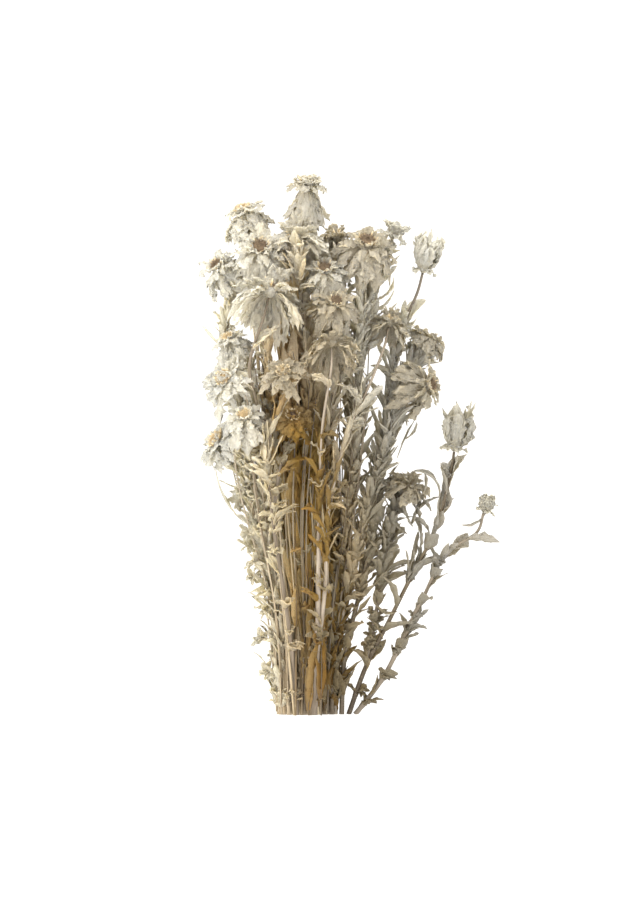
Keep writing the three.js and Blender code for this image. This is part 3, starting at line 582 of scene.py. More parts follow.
# How the bunch is tinted and shaded, by ramps over its width: the amber of the leaning middle is partly the
# chaff's own colour and partly painted shade of the deep middle, and the darker right side and the slightly
# darker left edge of the petals and leaves are painted shade. "paler" gives the heights between which a ramp
# fades to white and how far, which is painted light that lifts the shaded hollows towards the flowers; the
# "foot" ramps darken what lies below the heights of "foot"
shadeAndTint = {"left": -90, "right": 60, "slope": 0.127,
          "paler": {"petal": (20, 120, 0.6), "leaf": (-40, 90, 0.68), "chaff": (10, 95, 0.85),
                    "stem": (20, 120, 0.5), "straw": (10, 95, 0.8), "front": (20, 120, 0.0)},
          "petal": [(0.0, 0.93, 0.93, 0.93), (0.1, 0.99, 0.98, 0.96), (0.3, 0.84, 0.79, 0.69),
                    (0.45, 0.78, 0.71, 0.57), (0.7, 0.76, 0.71, 0.61), (1.0, 0.8, 0.78, 0.73)],
          "leaf": [(0.0, 0.78, 0.77, 0.74), (0.12, 0.93, 0.9, 0.82), (0.24, 0.75, 0.67, 0.5),
                   (0.38, 0.6, 0.51, 0.34), (0.52, 0.66, 0.56, 0.39), (0.66, 0.51, 0.46, 0.36),
                   (0.85, 0.49, 0.47, 0.44), (1.0, 0.54, 0.52, 0.5)],
          "chaff": [(0.0, 0.92, 0.89, 0.82), (0.1, 0.9, 0.85, 0.72), (0.24, 0.66, 0.54, 0.32),
                    (0.34, 0.46, 0.3, 0.07), (0.46, 0.35, 0.25, 0.09), (0.56, 0.35, 0.3, 0.2)],
          "stem": [(0.0, 0.9, 0.9, 0.9), (0.14, 0.78, 0.74, 0.67), (0.26, 0.54, 0.49, 0.4),
                   (0.4, 0.36, 0.32, 0.26), (1.0, 0.3, 0.27, 0.22)],
          "straw": [(0.0, 0.9, 0.88, 0.84), (0.1, 0.85, 0.79, 0.66), (0.24, 0.42, 0.33, 0.2),
                    (0.4, 0.27, 0.21, 0.11)],
          "front": [(0.27, 0.56, 0.52, 0.46), (0.34, 0.8, 0.77, 0.73), (0.44, 1.0, 0.98, 0.95)],
          "foot": (-190, -80),
          "footSheet": [(0.1, 1.0, 1.0, 1.0), (0.22, 0.72, 0.64, 0.56), (0.34, 0.42, 0.36, 0.26),
                        (0.5, 0.42, 0.4, 0.36), (0.85, 0.8, 0.8, 0.8)],
          "footStalk": [(0.1, 0.85, 0.8, 0.74), (0.22, 0.42, 0.36, 0.28), (0.36, 0.24, 0.2, 0.14),
                        (0.5, 0.27, 0.23, 0.18), (0.85, 0.45, 0.42, 0.36)],
          "footFront": [(0.0, 0.9, 0.88, 0.86), (0.5, 0.8, 0.77, 0.72)]}
footOf = {"stem": "footStalk", "straw": "footStalk", "front": "footFront"}  # for sheets it is footSheet


# A material starts from a principled shader. grow adds a node and links or sets its inputs.
def newLook(name):
    look = bpy.data.materials.new(name)
    look.use_nodes = True
    tree = look.node_tree

    def grow(kind, settings=None, **inputs):
        node = tree.nodes.new("ShaderNode" + kind)
        for key, value in (settings or {}).items():
            setattr(node, key, value)
        for key, value in inputs.items():
            slot = node.inputs[int(key[1:]) if key[0] == "i" and key[1:].isdigit() else key.replace("_", " ")]
            if isinstance(value, bpy.types.NodeSocket):
                tree.links.new(value, slot)
            else:
                slot.default_value = value
        return node
    return look, tree, grow, tree.nodes["Principled BSDF"]


# Colours run over stops: (place, red, green, blue)
def ramp(grow, value, *stops):
    node = grow("ValToRGB", Fac=value)
    for k, (place, *colour) in enumerate(stops):
        element = node.color_ramp.elements[k] if k < 2 else node.color_ramp.elements.new(place)
        element.position = place
        element.color = (*colour, 1)
    return node.outputs["Color"]


# The same in greys: (place, brightness)
def greys(grow, value, *stops):
    return ramp(grow, value, *[(place, tone, tone, tone) for place, tone in stops])


def worked(grow, operation, *values):
    node = grow("Math", {"operation": operation}, **{"i%d" % k: value for k, value in enumerate(values)})
    return node.outputs["Value"]


def blended(grow, share, one, two, how="MIX"):
    node = grow("Mix", {"data_type": "RGBA", "blend_type": how}, i0=share, i6=one, i7=two)
    return node.outputs[2]


# Noise on the object's own coordinates, finer as scale grows
def patches(grow, scale, detail=3.0, rough=0.6):
    place = grow("TexCoord").outputs["Object"]
    return grow("TexNoise", Vector=place, Scale=scale, Detail=detail, Roughness=rough).outputs["Fac"]


# Noise drawn out along the grain: across is multiplied far more than along
def grainNoise(grow, across, along, detail=4.0):
    place = grow("Mapping", Vector=grow("UVMap", {"uv_map": "grain"}).outputs["UV"], Scale=(across, along, 1))
    return grow("TexNoise", Vector=place.outputs["Vector"], Scale=1.0, Detail=detail).outputs["Fac"]


# Creases: how far a noise is from its middle, so that its middle lines are sharp valleys
def creased(grow, value):
    off = worked(grow, "SUBTRACT", value, 0.5)
    return worked(grow, "MULTIPLY", worked(grow, "ABSOLUTE", off), 4.0)


# Share along a sheet or stalk, and a random number by its serial one
def alongAndSerial(grow):
    parts = grow("SeparateXYZ", Vector=grow("UVMap", {"uv_map": "grain"}).outputs["UV"])
    serial = worked(grow, "FLOOR", parts.outputs["X"])
    chance = grow("TexWhiteNoise", {"noise_dimensions": "1D"}, W=serial).outputs["Value"]
    return parts.outputs["Y"], chance


# How far a place on a sheet is from the sheet's midline, up to 0.49 at its edges
def fromMiddle(grow):
    parts = grow("SeparateXYZ", Vector=grow("UVMap", {"uv_map": "grain"}).outputs["UV"])
    return worked(grow, "ABSOLUTE", worked(grow, "SUBTRACT", worked(grow, "FRACT", parts.outputs["X"]), 0.49))


def bumped(grow, height, distance, strength=0.6, under=None):
    extra = {"Normal": under} if under is not None else {}
    return grow("Bump", Height=height, Distance=distance, Strength=strength, **extra).outputs["Normal"]


# Papery sheets let a share of the light through, in a warmer colour
def letThrough(grow, tree, shader, colour, normal, share):
    through = grow("BsdfTranslucent", Color=colour, Normal=normal)
    mixed = grow("MixShader", i0=share, i1=shader.outputs["BSDF"], i2=through.outputs["BSDF"])
    tree.links.new(mixed.outputs["Shader"], tree.nodes["Material Output"].inputs["Surface"])


# Painted shade and tint: a multiplier runs over the bunch's width, from the left side to the right one; its
# amber middle is partly the chaff's own colour and partly painted shade, and its darker right side is painted
# shade. The amber middle of the bunch leans, so x is shifted by slope times y. Towards the flowers the
# multiplier fades towards white, which is painted light.
def shadedAndTinted(grow, colour, kind):
    place = grow("SeparateXYZ", Vector=grow("TexCoord").outputs["Object"])
    shift = worked(grow, "MULTIPLY", place.outputs["Y"], shadeAndTint["slope"])
    leaning = worked(grow, "ADD", place.outputs["X"], shift)
    wide = grow("MapRange", i0=leaning, i1=shadeAndTint["left"] * metre, i2=shadeAndTint["right"] * metre)
    low, high, palest = shadeAndTint["paler"][kind]
    fade = grow("MapRange", i0=place.outputs["Y"], i1=low * metre, i2=high * metre, i3=0.0, i4=palest)
    # Over the width: amber in the middle, partly the chaff's own colour and partly painted shade, and darker
    # to the right, which is painted shade
    tone = ramp(grow, wide.outputs["Result"], *shadeAndTint[kind])
    # Fading towards white by height is painted light on the shaded hollows towards the flowers
    tone = blended(grow, fade.outputs["Result"], tone, (1, 1, 1, 1))
    cut, above = shadeAndTint["foot"]
    near = grow("MapRange", i0=place.outputs["Y"], i1=cut * metre, i2=above * metre, i3=1.0, i4=0.0)
    under = ramp(grow, wide.outputs["Result"], *shadeAndTint[footOf.get(kind, "footSheet")])
    tone = blended(grow, near.outputs["Result"], tone, under, "MULTIPLY")
    return blended(grow, 1.0, colour, tone, "MULTIPLY")


# Sheet look: pale patches, a tint by sheet, a warm root, fine lengthwise veins, and a pale tip colour on the
# tips, along the edges and on the fold and crumple lines, which is painted highlight
def sheetLook(name, pale, dull, root, tip, through, share, veins, kind):
    look, tree, grow, shader = newLook(name)
    along, chance = alongAndSerial(grow)
    body = ramp(grow, patches(grow, 75, 4), (0.36, *dull), (0.6, *pale))
    body = blended(grow, greys(grow, chance, (0.25, 0), (1.0, 0.75)), body,
                   (*[0.5 * (one + two) for one, two in zip(pale, root)], 1))
    body = blended(grow, greys(grow, along, (0.0, 1), (0.34, 0)), body, (*root, 1))
    # Pale tip colour on the tips and along the edges: painted highlight
    body = blended(grow, greys(grow, along, (0.72, 0), (1.0, 0.7)), body, (*tip, 1))
    body = blended(grow, greys(grow, fromMiddle(grow), (0.3, 0), (0.49, 0.6)), body, (*tip, 1))
    streaks = grainNoise(grow, veins, 2.5)
    folds = creased(grow, grainNoise(grow, veins * 0.45, 3.2, 2.0))
    crumples = creased(grow, patches(grow, 360, 2.5))
    veined = ramp(grow, streaks, (0.3, 0.8, 0.76, 0.68), (0.62, 1, 1, 1))
    body = blended(grow, 0.4, body, veined, "MULTIPLY")
    # Pale tip colour on the fold and crumple lines: painted highlight
    body = blended(grow, greys(grow, folds, (0.0, 0.5), (0.12, 0)), body, (*tip, 1))
    body = blended(grow, greys(grow, crumples, (0.0, 0.6), (0.14, 0)), body, (*tip, 1))
    # Painted shade and tint over the width, and painted light towards the flowers
    body = shadedAndTinted(grow, body, kind)
    fine = bumped(grow, crumples, 0.0008, 0.6, bumped(grow, patches(grow, 600, 3), 0.0004, 0.4))
    normal = bumped(grow, streaks, 0.0004, 0.6, bumped(grow, folds, 0.0007, 0.7, fine))
    tree.links.new(body, shader.inputs["Base Color"])
    tree.links.new(normal, shader.inputs["Normal"])
    tree.links.new(greys(grow, streaks, (0.2, 0.9), (0.8, 0.68)), shader.inputs["Roughness"])
    shader.inputs["Sheen Weight"].default_value = 0.12
    shader.inputs["Specular IOR Level"].default_value = 0.3
    letThrough(grow, tree, shader, blended(grow, 1.0, body, (*through, 1), "MULTIPLY"), normal, share)
    return look


# Stalk look: pale ridges on a browner ground, darker towards the bloom, speckled, with a satin skin
def stalkLook(name, pale, dark, upper, kind, share=0.0):
    look, tree, grow, shader = newLook(name)
    along, chance = alongAndSerial(grow)
    streaks = grainNoise(grow, 14, 5)
    body = ramp(grow, streaks, (0.32, *dark), (0.58, *pale))
    body = blended(grow, greys(grow, patches(grow, 26, 2), (0.4, 0), (0.65, 0.6)), body, (*dark, 1))
    height = worked(grow, "MULTIPLY", along, 0.25)
    body = blended(grow, greys(grow, height, (0.25, 0), (0.65, 0.9)), body, (*upper, 1))
    # Painted shade and tint over the width, and painted light towards the flowers
    body = shadedAndTinted(grow, body, kind)
    body = blended(grow, greys(grow, chance, (0.3, 0), (1.0, 0.5)), body, (*upper, 1))
    shaded = ramp(grow, chance, (0.0, 0.62, 0.58, 0.52), (0.7, 1, 1, 1))
    body = blended(grow, 1.0, body, shaded, "MULTIPLY")
    specks = greys(grow, patches(grow, 420, 2), (0.62, 0), (0.72, 0.6))
    body = blended(grow, specks, body, (*[0.5 * value for value in dark], 1))
    normal = bumped(grow, streaks, 0.0005, 0.8, bumped(grow, patches(grow, 520, 3), 0.0003, 0.4))
    tree.links.new(body, shader.inputs["Base Color"])
    tree.links.new(normal, shader.inputs["Normal"])
    tree.links.new(greys(grow, streaks, (0.2, 0.75), (0.8, 0.5)), shader.inputs["Roughness"])
    shader.inputs["Specular IOR Level"].default_value = 0.35
    if share:
        letThrough(grow, tree, shader, body, normal, share)
    return look


# Button look: brown in dark and lighter patches, with paler bristle ends
def buttonLook(name, dark, brown, tips):
    look, tree, grow, shader = newLook(name)
    along, chance = alongAndSerial(grow)
    body = ramp(grow, patches(grow, 320, 4), (0.35, *dark), (0.6, *brown))
    body = blended(grow, greys(grow, along, (0.35, 0), (1.0, 0.8)), body, (*tips, 1))
    body = blended(grow, greys(grow, chance, (0.5, 0), (1.0, 0.5)), body, (*brown, 1))
    tree.links.new(body, shader.inputs["Base Color"])
    tree.links.new(bumped(grow, patches(grow, 900, 4), 0.0006, 0.8), shader.inputs["Normal"])
    rough = greys(grow, patches(grow, 250, 2), (0.3, 0.95), (0.7, 0.75))
    tree.links.new(rough, shader.inputs["Roughness"])
    return look


# The fourth colour of each sheet look is its painted highlight, on tips, edges and crinkle lines
# The taupe petal look is a darker copy of the bleached one, for blooms in shade: painted shade
shadedPetalLook = sheetLook("shaded taupe petal", (0.74, 0.71, 0.64), (0.64, 0.60, 0.51), (0.62, 0.55, 0.40),
                      (0.88, 0.85, 0.78), (1.0, 0.97, 0.85), 0.74, 9, "petal")
petalLook = sheetLook("bleached petal", (0.86, 0.86, 0.85), (0.79, 0.785, 0.75), (0.82, 0.77, 0.62),
                      (0.97, 0.97, 0.96), (1.0, 0.98, 0.9), 0.76, 9, "petal")
leafLook = sheetLook("papery leaf", (0.88, 0.87, 0.81), (0.79, 0.77, 0.68), (0.77, 0.70, 0.53),
                     (0.96, 0.95, 0.92), (1.0, 0.965, 0.83), 0.7, 7, "leaf")
chaffLook = sheetLook("amber chaff", (0.93, 0.88, 0.75), (0.86, 0.78, 0.60), (0.80, 0.68, 0.42),
                      (0.94, 0.88, 0.72), (1.0, 0.95, 0.78), 0.68, 6, "chaff")
stemLook = stalkLook("straw stem", (0.58, 0.51, 0.38), (0.32, 0.26, 0.17), (0.17, 0.14, 0.105), "stem")
paleStemLook = stalkLook("weathered stem", (0.4, 0.35, 0.29), (0.2, 0.165, 0.12), (0.27, 0.23, 0.18),
                         "front")
strawLook = stalkLook("amber straw", (0.74, 0.68, 0.53), (0.52, 0.44, 0.29), (0.66, 0.55, 0.36), "straw",
                      share=0.25)
brownLook = buttonLook("bristly brown", (0.015, 0.009, 0.005), (0.06, 0.036, 0.018), (0.3, 0.21, 0.12))
tanLook = buttonLook("bristly tan", (0.16, 0.1, 0.045), (0.36, 0.25, 0.12), (0.66, 0.52, 0.3))
goldLook = buttonLook("golden chaff", (0.3, 0.2, 0.08), (0.52, 0.39, 0.2), (0.8, 0.68, 0.46))
print("bunch: materials are ready")


# Leafy stems. Tufts are clusters of small crinkled leaves, lances are smooth leaves that stand off
# between them, and papery ones hug the stem. Leaves whose roots are in the core are amber.
leafyStem = {"tufts": 11, "tuftLeaves": 4, "tuftLength": (6, 13), "tuftWidth": (3.4, 6.4),
             "tuftStart": (10, 45), "tuftEnd": (20, 110), "lowest": 0.03,
             "lanceLength": (13, 26), "lanceWidth": (4, 7), "lanceStart": (6, 34), "lanceEnd": (16, 80),
             "hugging": 105, "huggingLength": (15, 35), "huggingWidth": (2.8, 5.8), "huggingStart": (0, 24),
             "huggingEnd": (-16, 56), "nearCut": 0.14, "onFork": 0.75, "knot": 0.28, "knotLength": 0.006,
             "slim": 0.72, "slimRight": 0.85, "stout": ((1.5, 2.2), (0.9, 1.6))}
sideShoot = {"from": (0.01, 0.2), "to": (0.45, 0.85), "away": (5, 12), "turn": (20, 160),
             "radius": (0.4, 0.75), "stations": 26}
sideShoots = {"far_left": 5, "left": 7, "left_curved": 7, "centre_left": 7, "low_middle": 3,
              "centre_right": 5, "top_middle": 4, "right_middle": 3}  # bare ones beside a stem

# For each stem: share of hugging leaves, where on the stem they begin and end, how many degrees further they
# lean out, share of tufts, and number of lances. Two forks grow unlike their stem.
growth = {"far_left": (1.9, 0.0, 0.92, 14, 6.0, 14), "low_middle": (1.8, 0.0, 0.94, 4, 0.5, 6),
          "right_inner": (1.9, 0.0, 0.96, 4, 1.2, 16), "right_tall": (1.7, 0.24, 0.86, 8, 0.4, 24),
          "right_pod": (0.1, 0.5, 0.96, 10, 0.3, 8), "far_right": (0.1, 0.35, 0.75, 0, 0.5, 7),
          "left": (1.4, 0.0, 0.96, 10, 3.6, 6), "centre_right": (1.4, 0.02, 0.9, 6, 0.6, 0),
          "right_middle": (2.2, 0.05, 0.96, -2, 0.8, 24), "left_curved": (1.0, 0.1, 0.56, 6, 1.4, 4),
          "centre_left": (0.8, 0.35, 0.9, 0, 1.0, 0), "front_left": (0.2, 0.6, 0.9, 0, 1.0, 0),
          "top_middle": (0.9, 0.4, 0.92, 0, 0.8, 0), "front": (0.15, 0.5, 0.72, 0, 1.0, 0)}
forkGrowth = {"right_pod": (1.0, 0.42, 0.98, 30, 2.4, 26), "front": (0.5, 0.2, 0.7, 4, 1.0, 4)}
wholeLeaves = ("right_tall", "right_pod", "far_right")  # the leaves of the solid aren't torn
slimRightStems = (*wholeLeaves, "right_inner")
paleStems = ("front", "front_left")
core = {"foot": -14, "lean": -0.105, "half": 19, "top": 300, "amber": 0.75}

# Long leaves that are seen by themselves: root, axis in x and y, the hand (1 right, -1 left) to which the
# leaf leans with its rise, start and end angle, length and width
strays = {"far_left": [((-74, 136, 14), (0, 1), (-1, 0.1), 52, 0, 46, 5.5)],
          "right_middle": [((2, 150, 28), (0.45, 0.893), (1, 0), 0, 14, 32, 7.5),
                           ((3.5, 170, 32), (0.4, 0.917), (1, 0), 0, 12, 35, 8),
                           ((5, 188, 38), (0.36, 0.933), (1, 0), 8, -14, 34, 8),
                           ((6, 205, 40), (0.46, 0.888), (1, 0), -6, 12, 32, 8),
                           ((7.5, 222, 42), (0.4, 0.917), (1, 0), 0, 14, 34, 8),
                           ((20, 299, 36), (0.5, 0.866), (-1, 0), 0, 30, 20, 5.5),
                           ((21, 305, 36), (0.94, 0.34), (-1, 0), 0, 40, 18, 5),
                           ((19, 292, 36), (0.8, 0.6), (-1, 0), -20, 50, 22, 6),
                           ((17, 284, 35), (0.94, 0.34), (-1, 0), 0, 50, 22, 5.5),
                           ((22, 268, 33), (0.35, 0.937), (1, 0), 0, 20, 26, 6.5),
                           ((20, 262, 33), (0.75, 0.66), (-1, 0), 0, 45, 24, 6.5)],
          "right_tall": [((22, 165, 18), (-0.36, 0.933), (-1, 0), 0, 12, 34, 8),
                         ((25, 190, 22), (-0.3, 0.954), (-1, 0), 8, -8, 36, 8),
                         ((27, 210, 25), (-0.36, 0.933), (-1, 0), 0, 14, 36, 8),
                         ((30, 232, 28), (-0.3, 0.954), (-1, 0), -6, 12, 34, 8),
                         ((34, 180, 28), (0.35, 0.937), (1, 0), 0, 12, 42, 3),
                         ((40, 194, 28), (0.8, 0.6), (-1, 0), 0, 40, 15, 5.5),
                         ((41, 203, 29), (-0.2, 0.98), (-1, 0), 0, 30, 17, 6),
                         ((45, 212, 30), (0.5, 0.866), (-1, 0), 0, 34, 15, 5.5)],
          "right_pod": [((63.4, 152.6, 28), (0, 1), (-1, 0), -10, 105, 32, 7),
                        ((34, 72.8, 10), (-1, 0), (1, 0), -20, 115, 27, 6.5),
                        ((24, 53, 8), (-0.28, 0.96), (-1, 0), 0, 40, 20, 8),
                        ((12.3, 30.8, 5), (0, 1), (-1, 0), 0, 12, 18, 9),
                        ((13.7, 13.3, 4), (0.6, 0.8), (-1, 0), 0, 24, 17, 7),
                        ((38.9, 152.6, 22), (0.1, -0.995), (-1, 0), 0, 25, 22, 8),
                        ((48.7, 142.8, 22), (0.6, 0.8), (1, 0), 0, 40, 20, 6.5),
                        ((42.4, 98.7, 16), (0.1, 0.995), (-1, 0), 0, -14, 32, 9),
                        ((30.5, 142.8, 16), (0.35, -0.937), (-1, 0), 0, 30, 20, 7),
                        ((50, 117.6, 18), (0.2, 0.98), (-1, 0), 0, 50, 24, 7.5),
                        ((57, 126.7, 20), (0, 1), (-1, 0), 20, 75, 20, 6.5),
                        ((47, 150, 24), (0.5, 0.866), (-1, 0), -20, 50, 24, 7),
                        ((50, 138, 20), (-0.3, 0.954), (-1, 0), 0, 26, 19, 8),
                        ((44, 134, 20), (0.2, 0.98), (-1, 0), 0, -20, 20, 8),
                        ((58, 143, 22), (-0.5, 0.866), (-1, 0), 0, 20, 18, 7)],
          "far_right": [((79.5, 133.7, 18), (1, 0), (-1, 0), -4, 70, 24, 5.5)]}

# Crumpled tufts that stand out to the side: middle of each
puffs = {"far_left": [(-67, 97, 9), (-61, 54, 8), (-56, 31, 7), (-71, 119, 11), (-76, 150, 14),
                      (-59, 74, 12)],
         "left": [(-75, 158, 34), (-70, 128, 24), (-66, 108, 20)]}
puff = {"leaves": 12, "length": (5, 10), "width": (2.4, 4.4), "turn": (0, 120)}


# The core is a leaning strip: its middle is foot plus lean times the height
def insideStrip(leaf, half):
    x, y = leaf["root"][:2]
    return abs(x - core["foot"] - core["lean"] * y) < half and y < core["top"]


# By the phase, which was drawn at random, some leaves in the core stay pale
def inCore(leaf):
    return insideStrip(leaf, core["half"]) and leaf["phase"] < core["amber"] * 2 * np.pi


# Small leaves at random round a line: each leans out from it between two angles, and is no longer than
# what is left of the line
def looseLeaves(rng, points, shares, lengths, widths, starts, ends, cup=0.35):
    t = lineShare(points, shares)
    places, axes = linePoints(points, t), lineDirections(points, t)
    left = np.maximum((1 - np.asarray(shares)) * np.linalg.norm(np.diff(points, axis=0), axis=1).sum(), 8)
    right, near = acrossOf(axes)
    around = rng.uniform(0, 2 * np.pi, len(t))[:, None]
    outward = right * np.cos(around) + near * np.sin(around)
    leaves = []
    for k in range(len(t)):
        leaves.append({"root": places[k], "axis": axes[k], "outward": outward[k],
                       "start": rng.uniform(*starts) * degree, "end": rng.uniform(*ends) * degree,
                       "length": min(rng.uniform(*lengths), left[k]), "width": rng.uniform(*widths),
                       "cup": cup, "phase": rng.uniform(0, 6.28)})
    return [leaf for leaf in leaves if leaf["root"][1] > 0.5 and leaf["root"][2] > 1.2]


def addPaleAndAmber(bodies, leaves, work, seed, serial):
    addSheets(bodies, [leaf for leaf in leaves if not inCore(leaf)], work, 1, seed, serial)
    addSheets(bodies, [leaf for leaf in leaves if inCore(leaf)], work, 2, seed + 20, serial + 400)


# A stalk tapers to the power "taper" and swells at its tufts by a bell curve. Its first span is below the
# cut.
def addStalk(bodies, index, name, which, points, radius, tufts):
    stations, begin = ((stem["branchStations"], 0.0) if which else (stem["stations"], 1 / (len(points) - 1)))
    t = np.linspace(begin, 1, stations)
    slim = leafyStem["slimRight"] if name in slimRightStems else leafyStem["slim"]
    radii = stem["tip"] + slim * (radius - stem["tip"]) * (1 - t) ** stem["taper"]
    if name in paleStems:
        stout, taper = leafyStem["stout"][which]
        radii = 0.8 * stem["tip"] + stout * (radius - stem["tip"]) * (1 - t) ** taper
    knots = lineShare(points, tufts)
    swollen = np.exp(-((t[:, None] - knots[None]) / leafyStem["knotLength"]) ** 2).sum(1)
    radii = radii * (1 + leafyStem["knot"] * np.minimum(swollen, 1))
    directions = lineDirections(points, t)
    addTube(bodies, linePoints(points, t), directions, radii, stem["sides"], 3 * index + which, 0, 0.07, 5)
    keepOnTable(bodies)


# Tufts, lances and hugging leaves of a stem or its fork, with a seed of its own for each set
def addSmallLeaves(bodies, rng, seed, points, tufts, grown, amount):
    hugShare, hugFrom, hugTo, leanOut, _, lances = grown
    shares = np.repeat(tufts, leafyStem["tuftLeaves"])
    shares = np.clip(shares + rng.normal(0, 0.004, len(shares)), 0, 1)
    small = looseLeaves(rng, points, shares, leafyStem["tuftLength"], leafyStem["tuftWidth"],
                        leafyStem["tuftStart"], leafyStem["tuftEnd"])
    addSheets(bodies, small, tuftWork, 1, 100 + seed, 100)
    shares = rng.uniform(leafyStem["lowest"], hugTo, int(lances * amount))
    lance = looseLeaves(rng, points, shares, leafyStem["lanceLength"], leafyStem["lanceWidth"],
                        leafyStem["lanceStart"], leafyStem["lanceEnd"])
    addSheets(bodies, lance, lanceWork, 1, 200 + seed, 400)
    shares = rng.uniform(hugFrom, hugTo, int(leafyStem["hugging"] * hugShare * amount))
    if hugFrom < leafyStem["lowest"]:  # a share of them starts close to the cut
        lowest = 0.4 * leafyStem["lowest"] + leafyStem["lowest"] * shares
        shares = np.where(rng.random(len(shares)) < leafyStem["nearCut"], lowest, shares)
    least, most = leafyStem["huggingEnd"]
    hugging = looseLeaves(rng, points, shares, leafyStem["huggingLength"], leafyStem["huggingWidth"],
                          leafyStem["huggingStart"], (least + leanOut, most + leanOut))
    addPaleAndAmber(bodies, hugging, stripWork, 150 + seed, 1000)


# Bare thin shoots that run beside a stem and part from it
def addSideShoots(bodies, rng, points, count):
    stations = sideShoot["stations"]
    for k in range(count):
        low, high = rng.uniform(*sideShoot["from"]), rng.uniform(*sideShoot["to"])
        t = lineShare(points, np.linspace(low, high, stations))
        right, near = acrossOf(lineDirections(points, t))
        turn = rng.uniform(*sideShoot["turn"]) * degree
        away = rng.uniform(*sideShoot["away"]) * np.linspace(0.35, 1, stations)[:, None]
        centres = linePoints(points, t) + away * (right * np.cos(turn) + near * np.sin(turn))
        centres[:, 1:] = np.maximum(centres[:, 1:], (0.5, 1.0))
        radii = rng.uniform(*sideShoot["radius"]) * np.linspace(1, 0.6, stations)
        addTube(bodies, centres, unit(np.gradient(centres, axis=0)), radii, 6, 90 + k, 0, 0.04, 3)


def addStrays(bodies, rng, index, name):
    alone = []
    for root, (x, y), (hand, rise), start, end, length, width in strays.get(name, []):
        alone.append({"root": np.array(root, float), "axis": np.array([x, y, 0.0]),
                      "outward": np.array([hand * y, -hand * x, rise]), "start": start * degree,
                      "end": end * degree, "length": length, "width": width, "cup": 0.4,
                      "phase": rng.uniform(0, 6.28)})
    addSheets(bodies, alone, lanceWork, 1, 350 + index, 760)


def addPuffs(bodies, rng, index, name):
    small = []
    for middle in puffs.get(name, []):
        outward = unit(rng.normal(size=(puff["leaves"], 3)) * (1, 1, 0.6))
        for k in range(puff["leaves"]):
            small.append({"root": np.array(middle, float), "axis": unit(np.cross(outward[k], outward[k - 1])),
                          "outward": outward[k], "start": rng.uniform(*puff["turn"]) * degree,
                          "end": rng.uniform(*puff["turn"]) * degree, "length": rng.uniform(*puff["length"]),
                          "width": rng.uniform(*puff["width"]), "cup": 0.3, "phase": rng.uniform(0, 6.28)})
    addSheets(bodies, small, tuftWork, 1, 380 + index, 820)


def makeLeafyStem(index, name):
    rng = np.random.default_rng(60 + index)
    bodies = newBodies()
    for which, (points, radius) in enumerate(lines[name]):
        grown = forkGrowth.get(name, growth[name]) if which else growth[name]
        amount = leafyStem["onFork"] if which else 1.0
        points = points + upward * raisedBy(name, which, np.linspace(0, 1, len(points)))[:, None]
        tufts = rng.uniform(leafyStem["lowest"], grown[2], int(leafyStem["tufts"] * grown[4] * amount + 0.5))
        addStalk(bodies, index, name, which, points, radius, tufts)
        addSmallLeaves(bodies, rng, index + 40 * which, points, tufts, grown, amount)
    addSideShoots(bodies, rng, lines[name][0][0], sideShoots.get(name, 0))
    addStrays(bodies, rng, index, name)
    addPuffs(bodies, rng, index, name)
    leaves = solidLeaves(index, name, lines[name])
    if name in wholeLeaves:
        addSheets(bodies, leaves, lanceWork, 1, 300 + index, 700)
    else:
        addPaleAndAmber(bodies, tornBlades(rng, leaves, 3.2, 20, 0.6), leafWork, 300 + index, 700)
    skin = paleStemLook if name in paleStems else stemLook
    makePiece("leafy_stem_" + name, bodies, [skin, leafLook, chaffLook], "stem_" + name)


for index, one in enumerate(stems):
    makeLeafyStem(index, one[0])
print("bunch: leafy stems done,", len(stems))


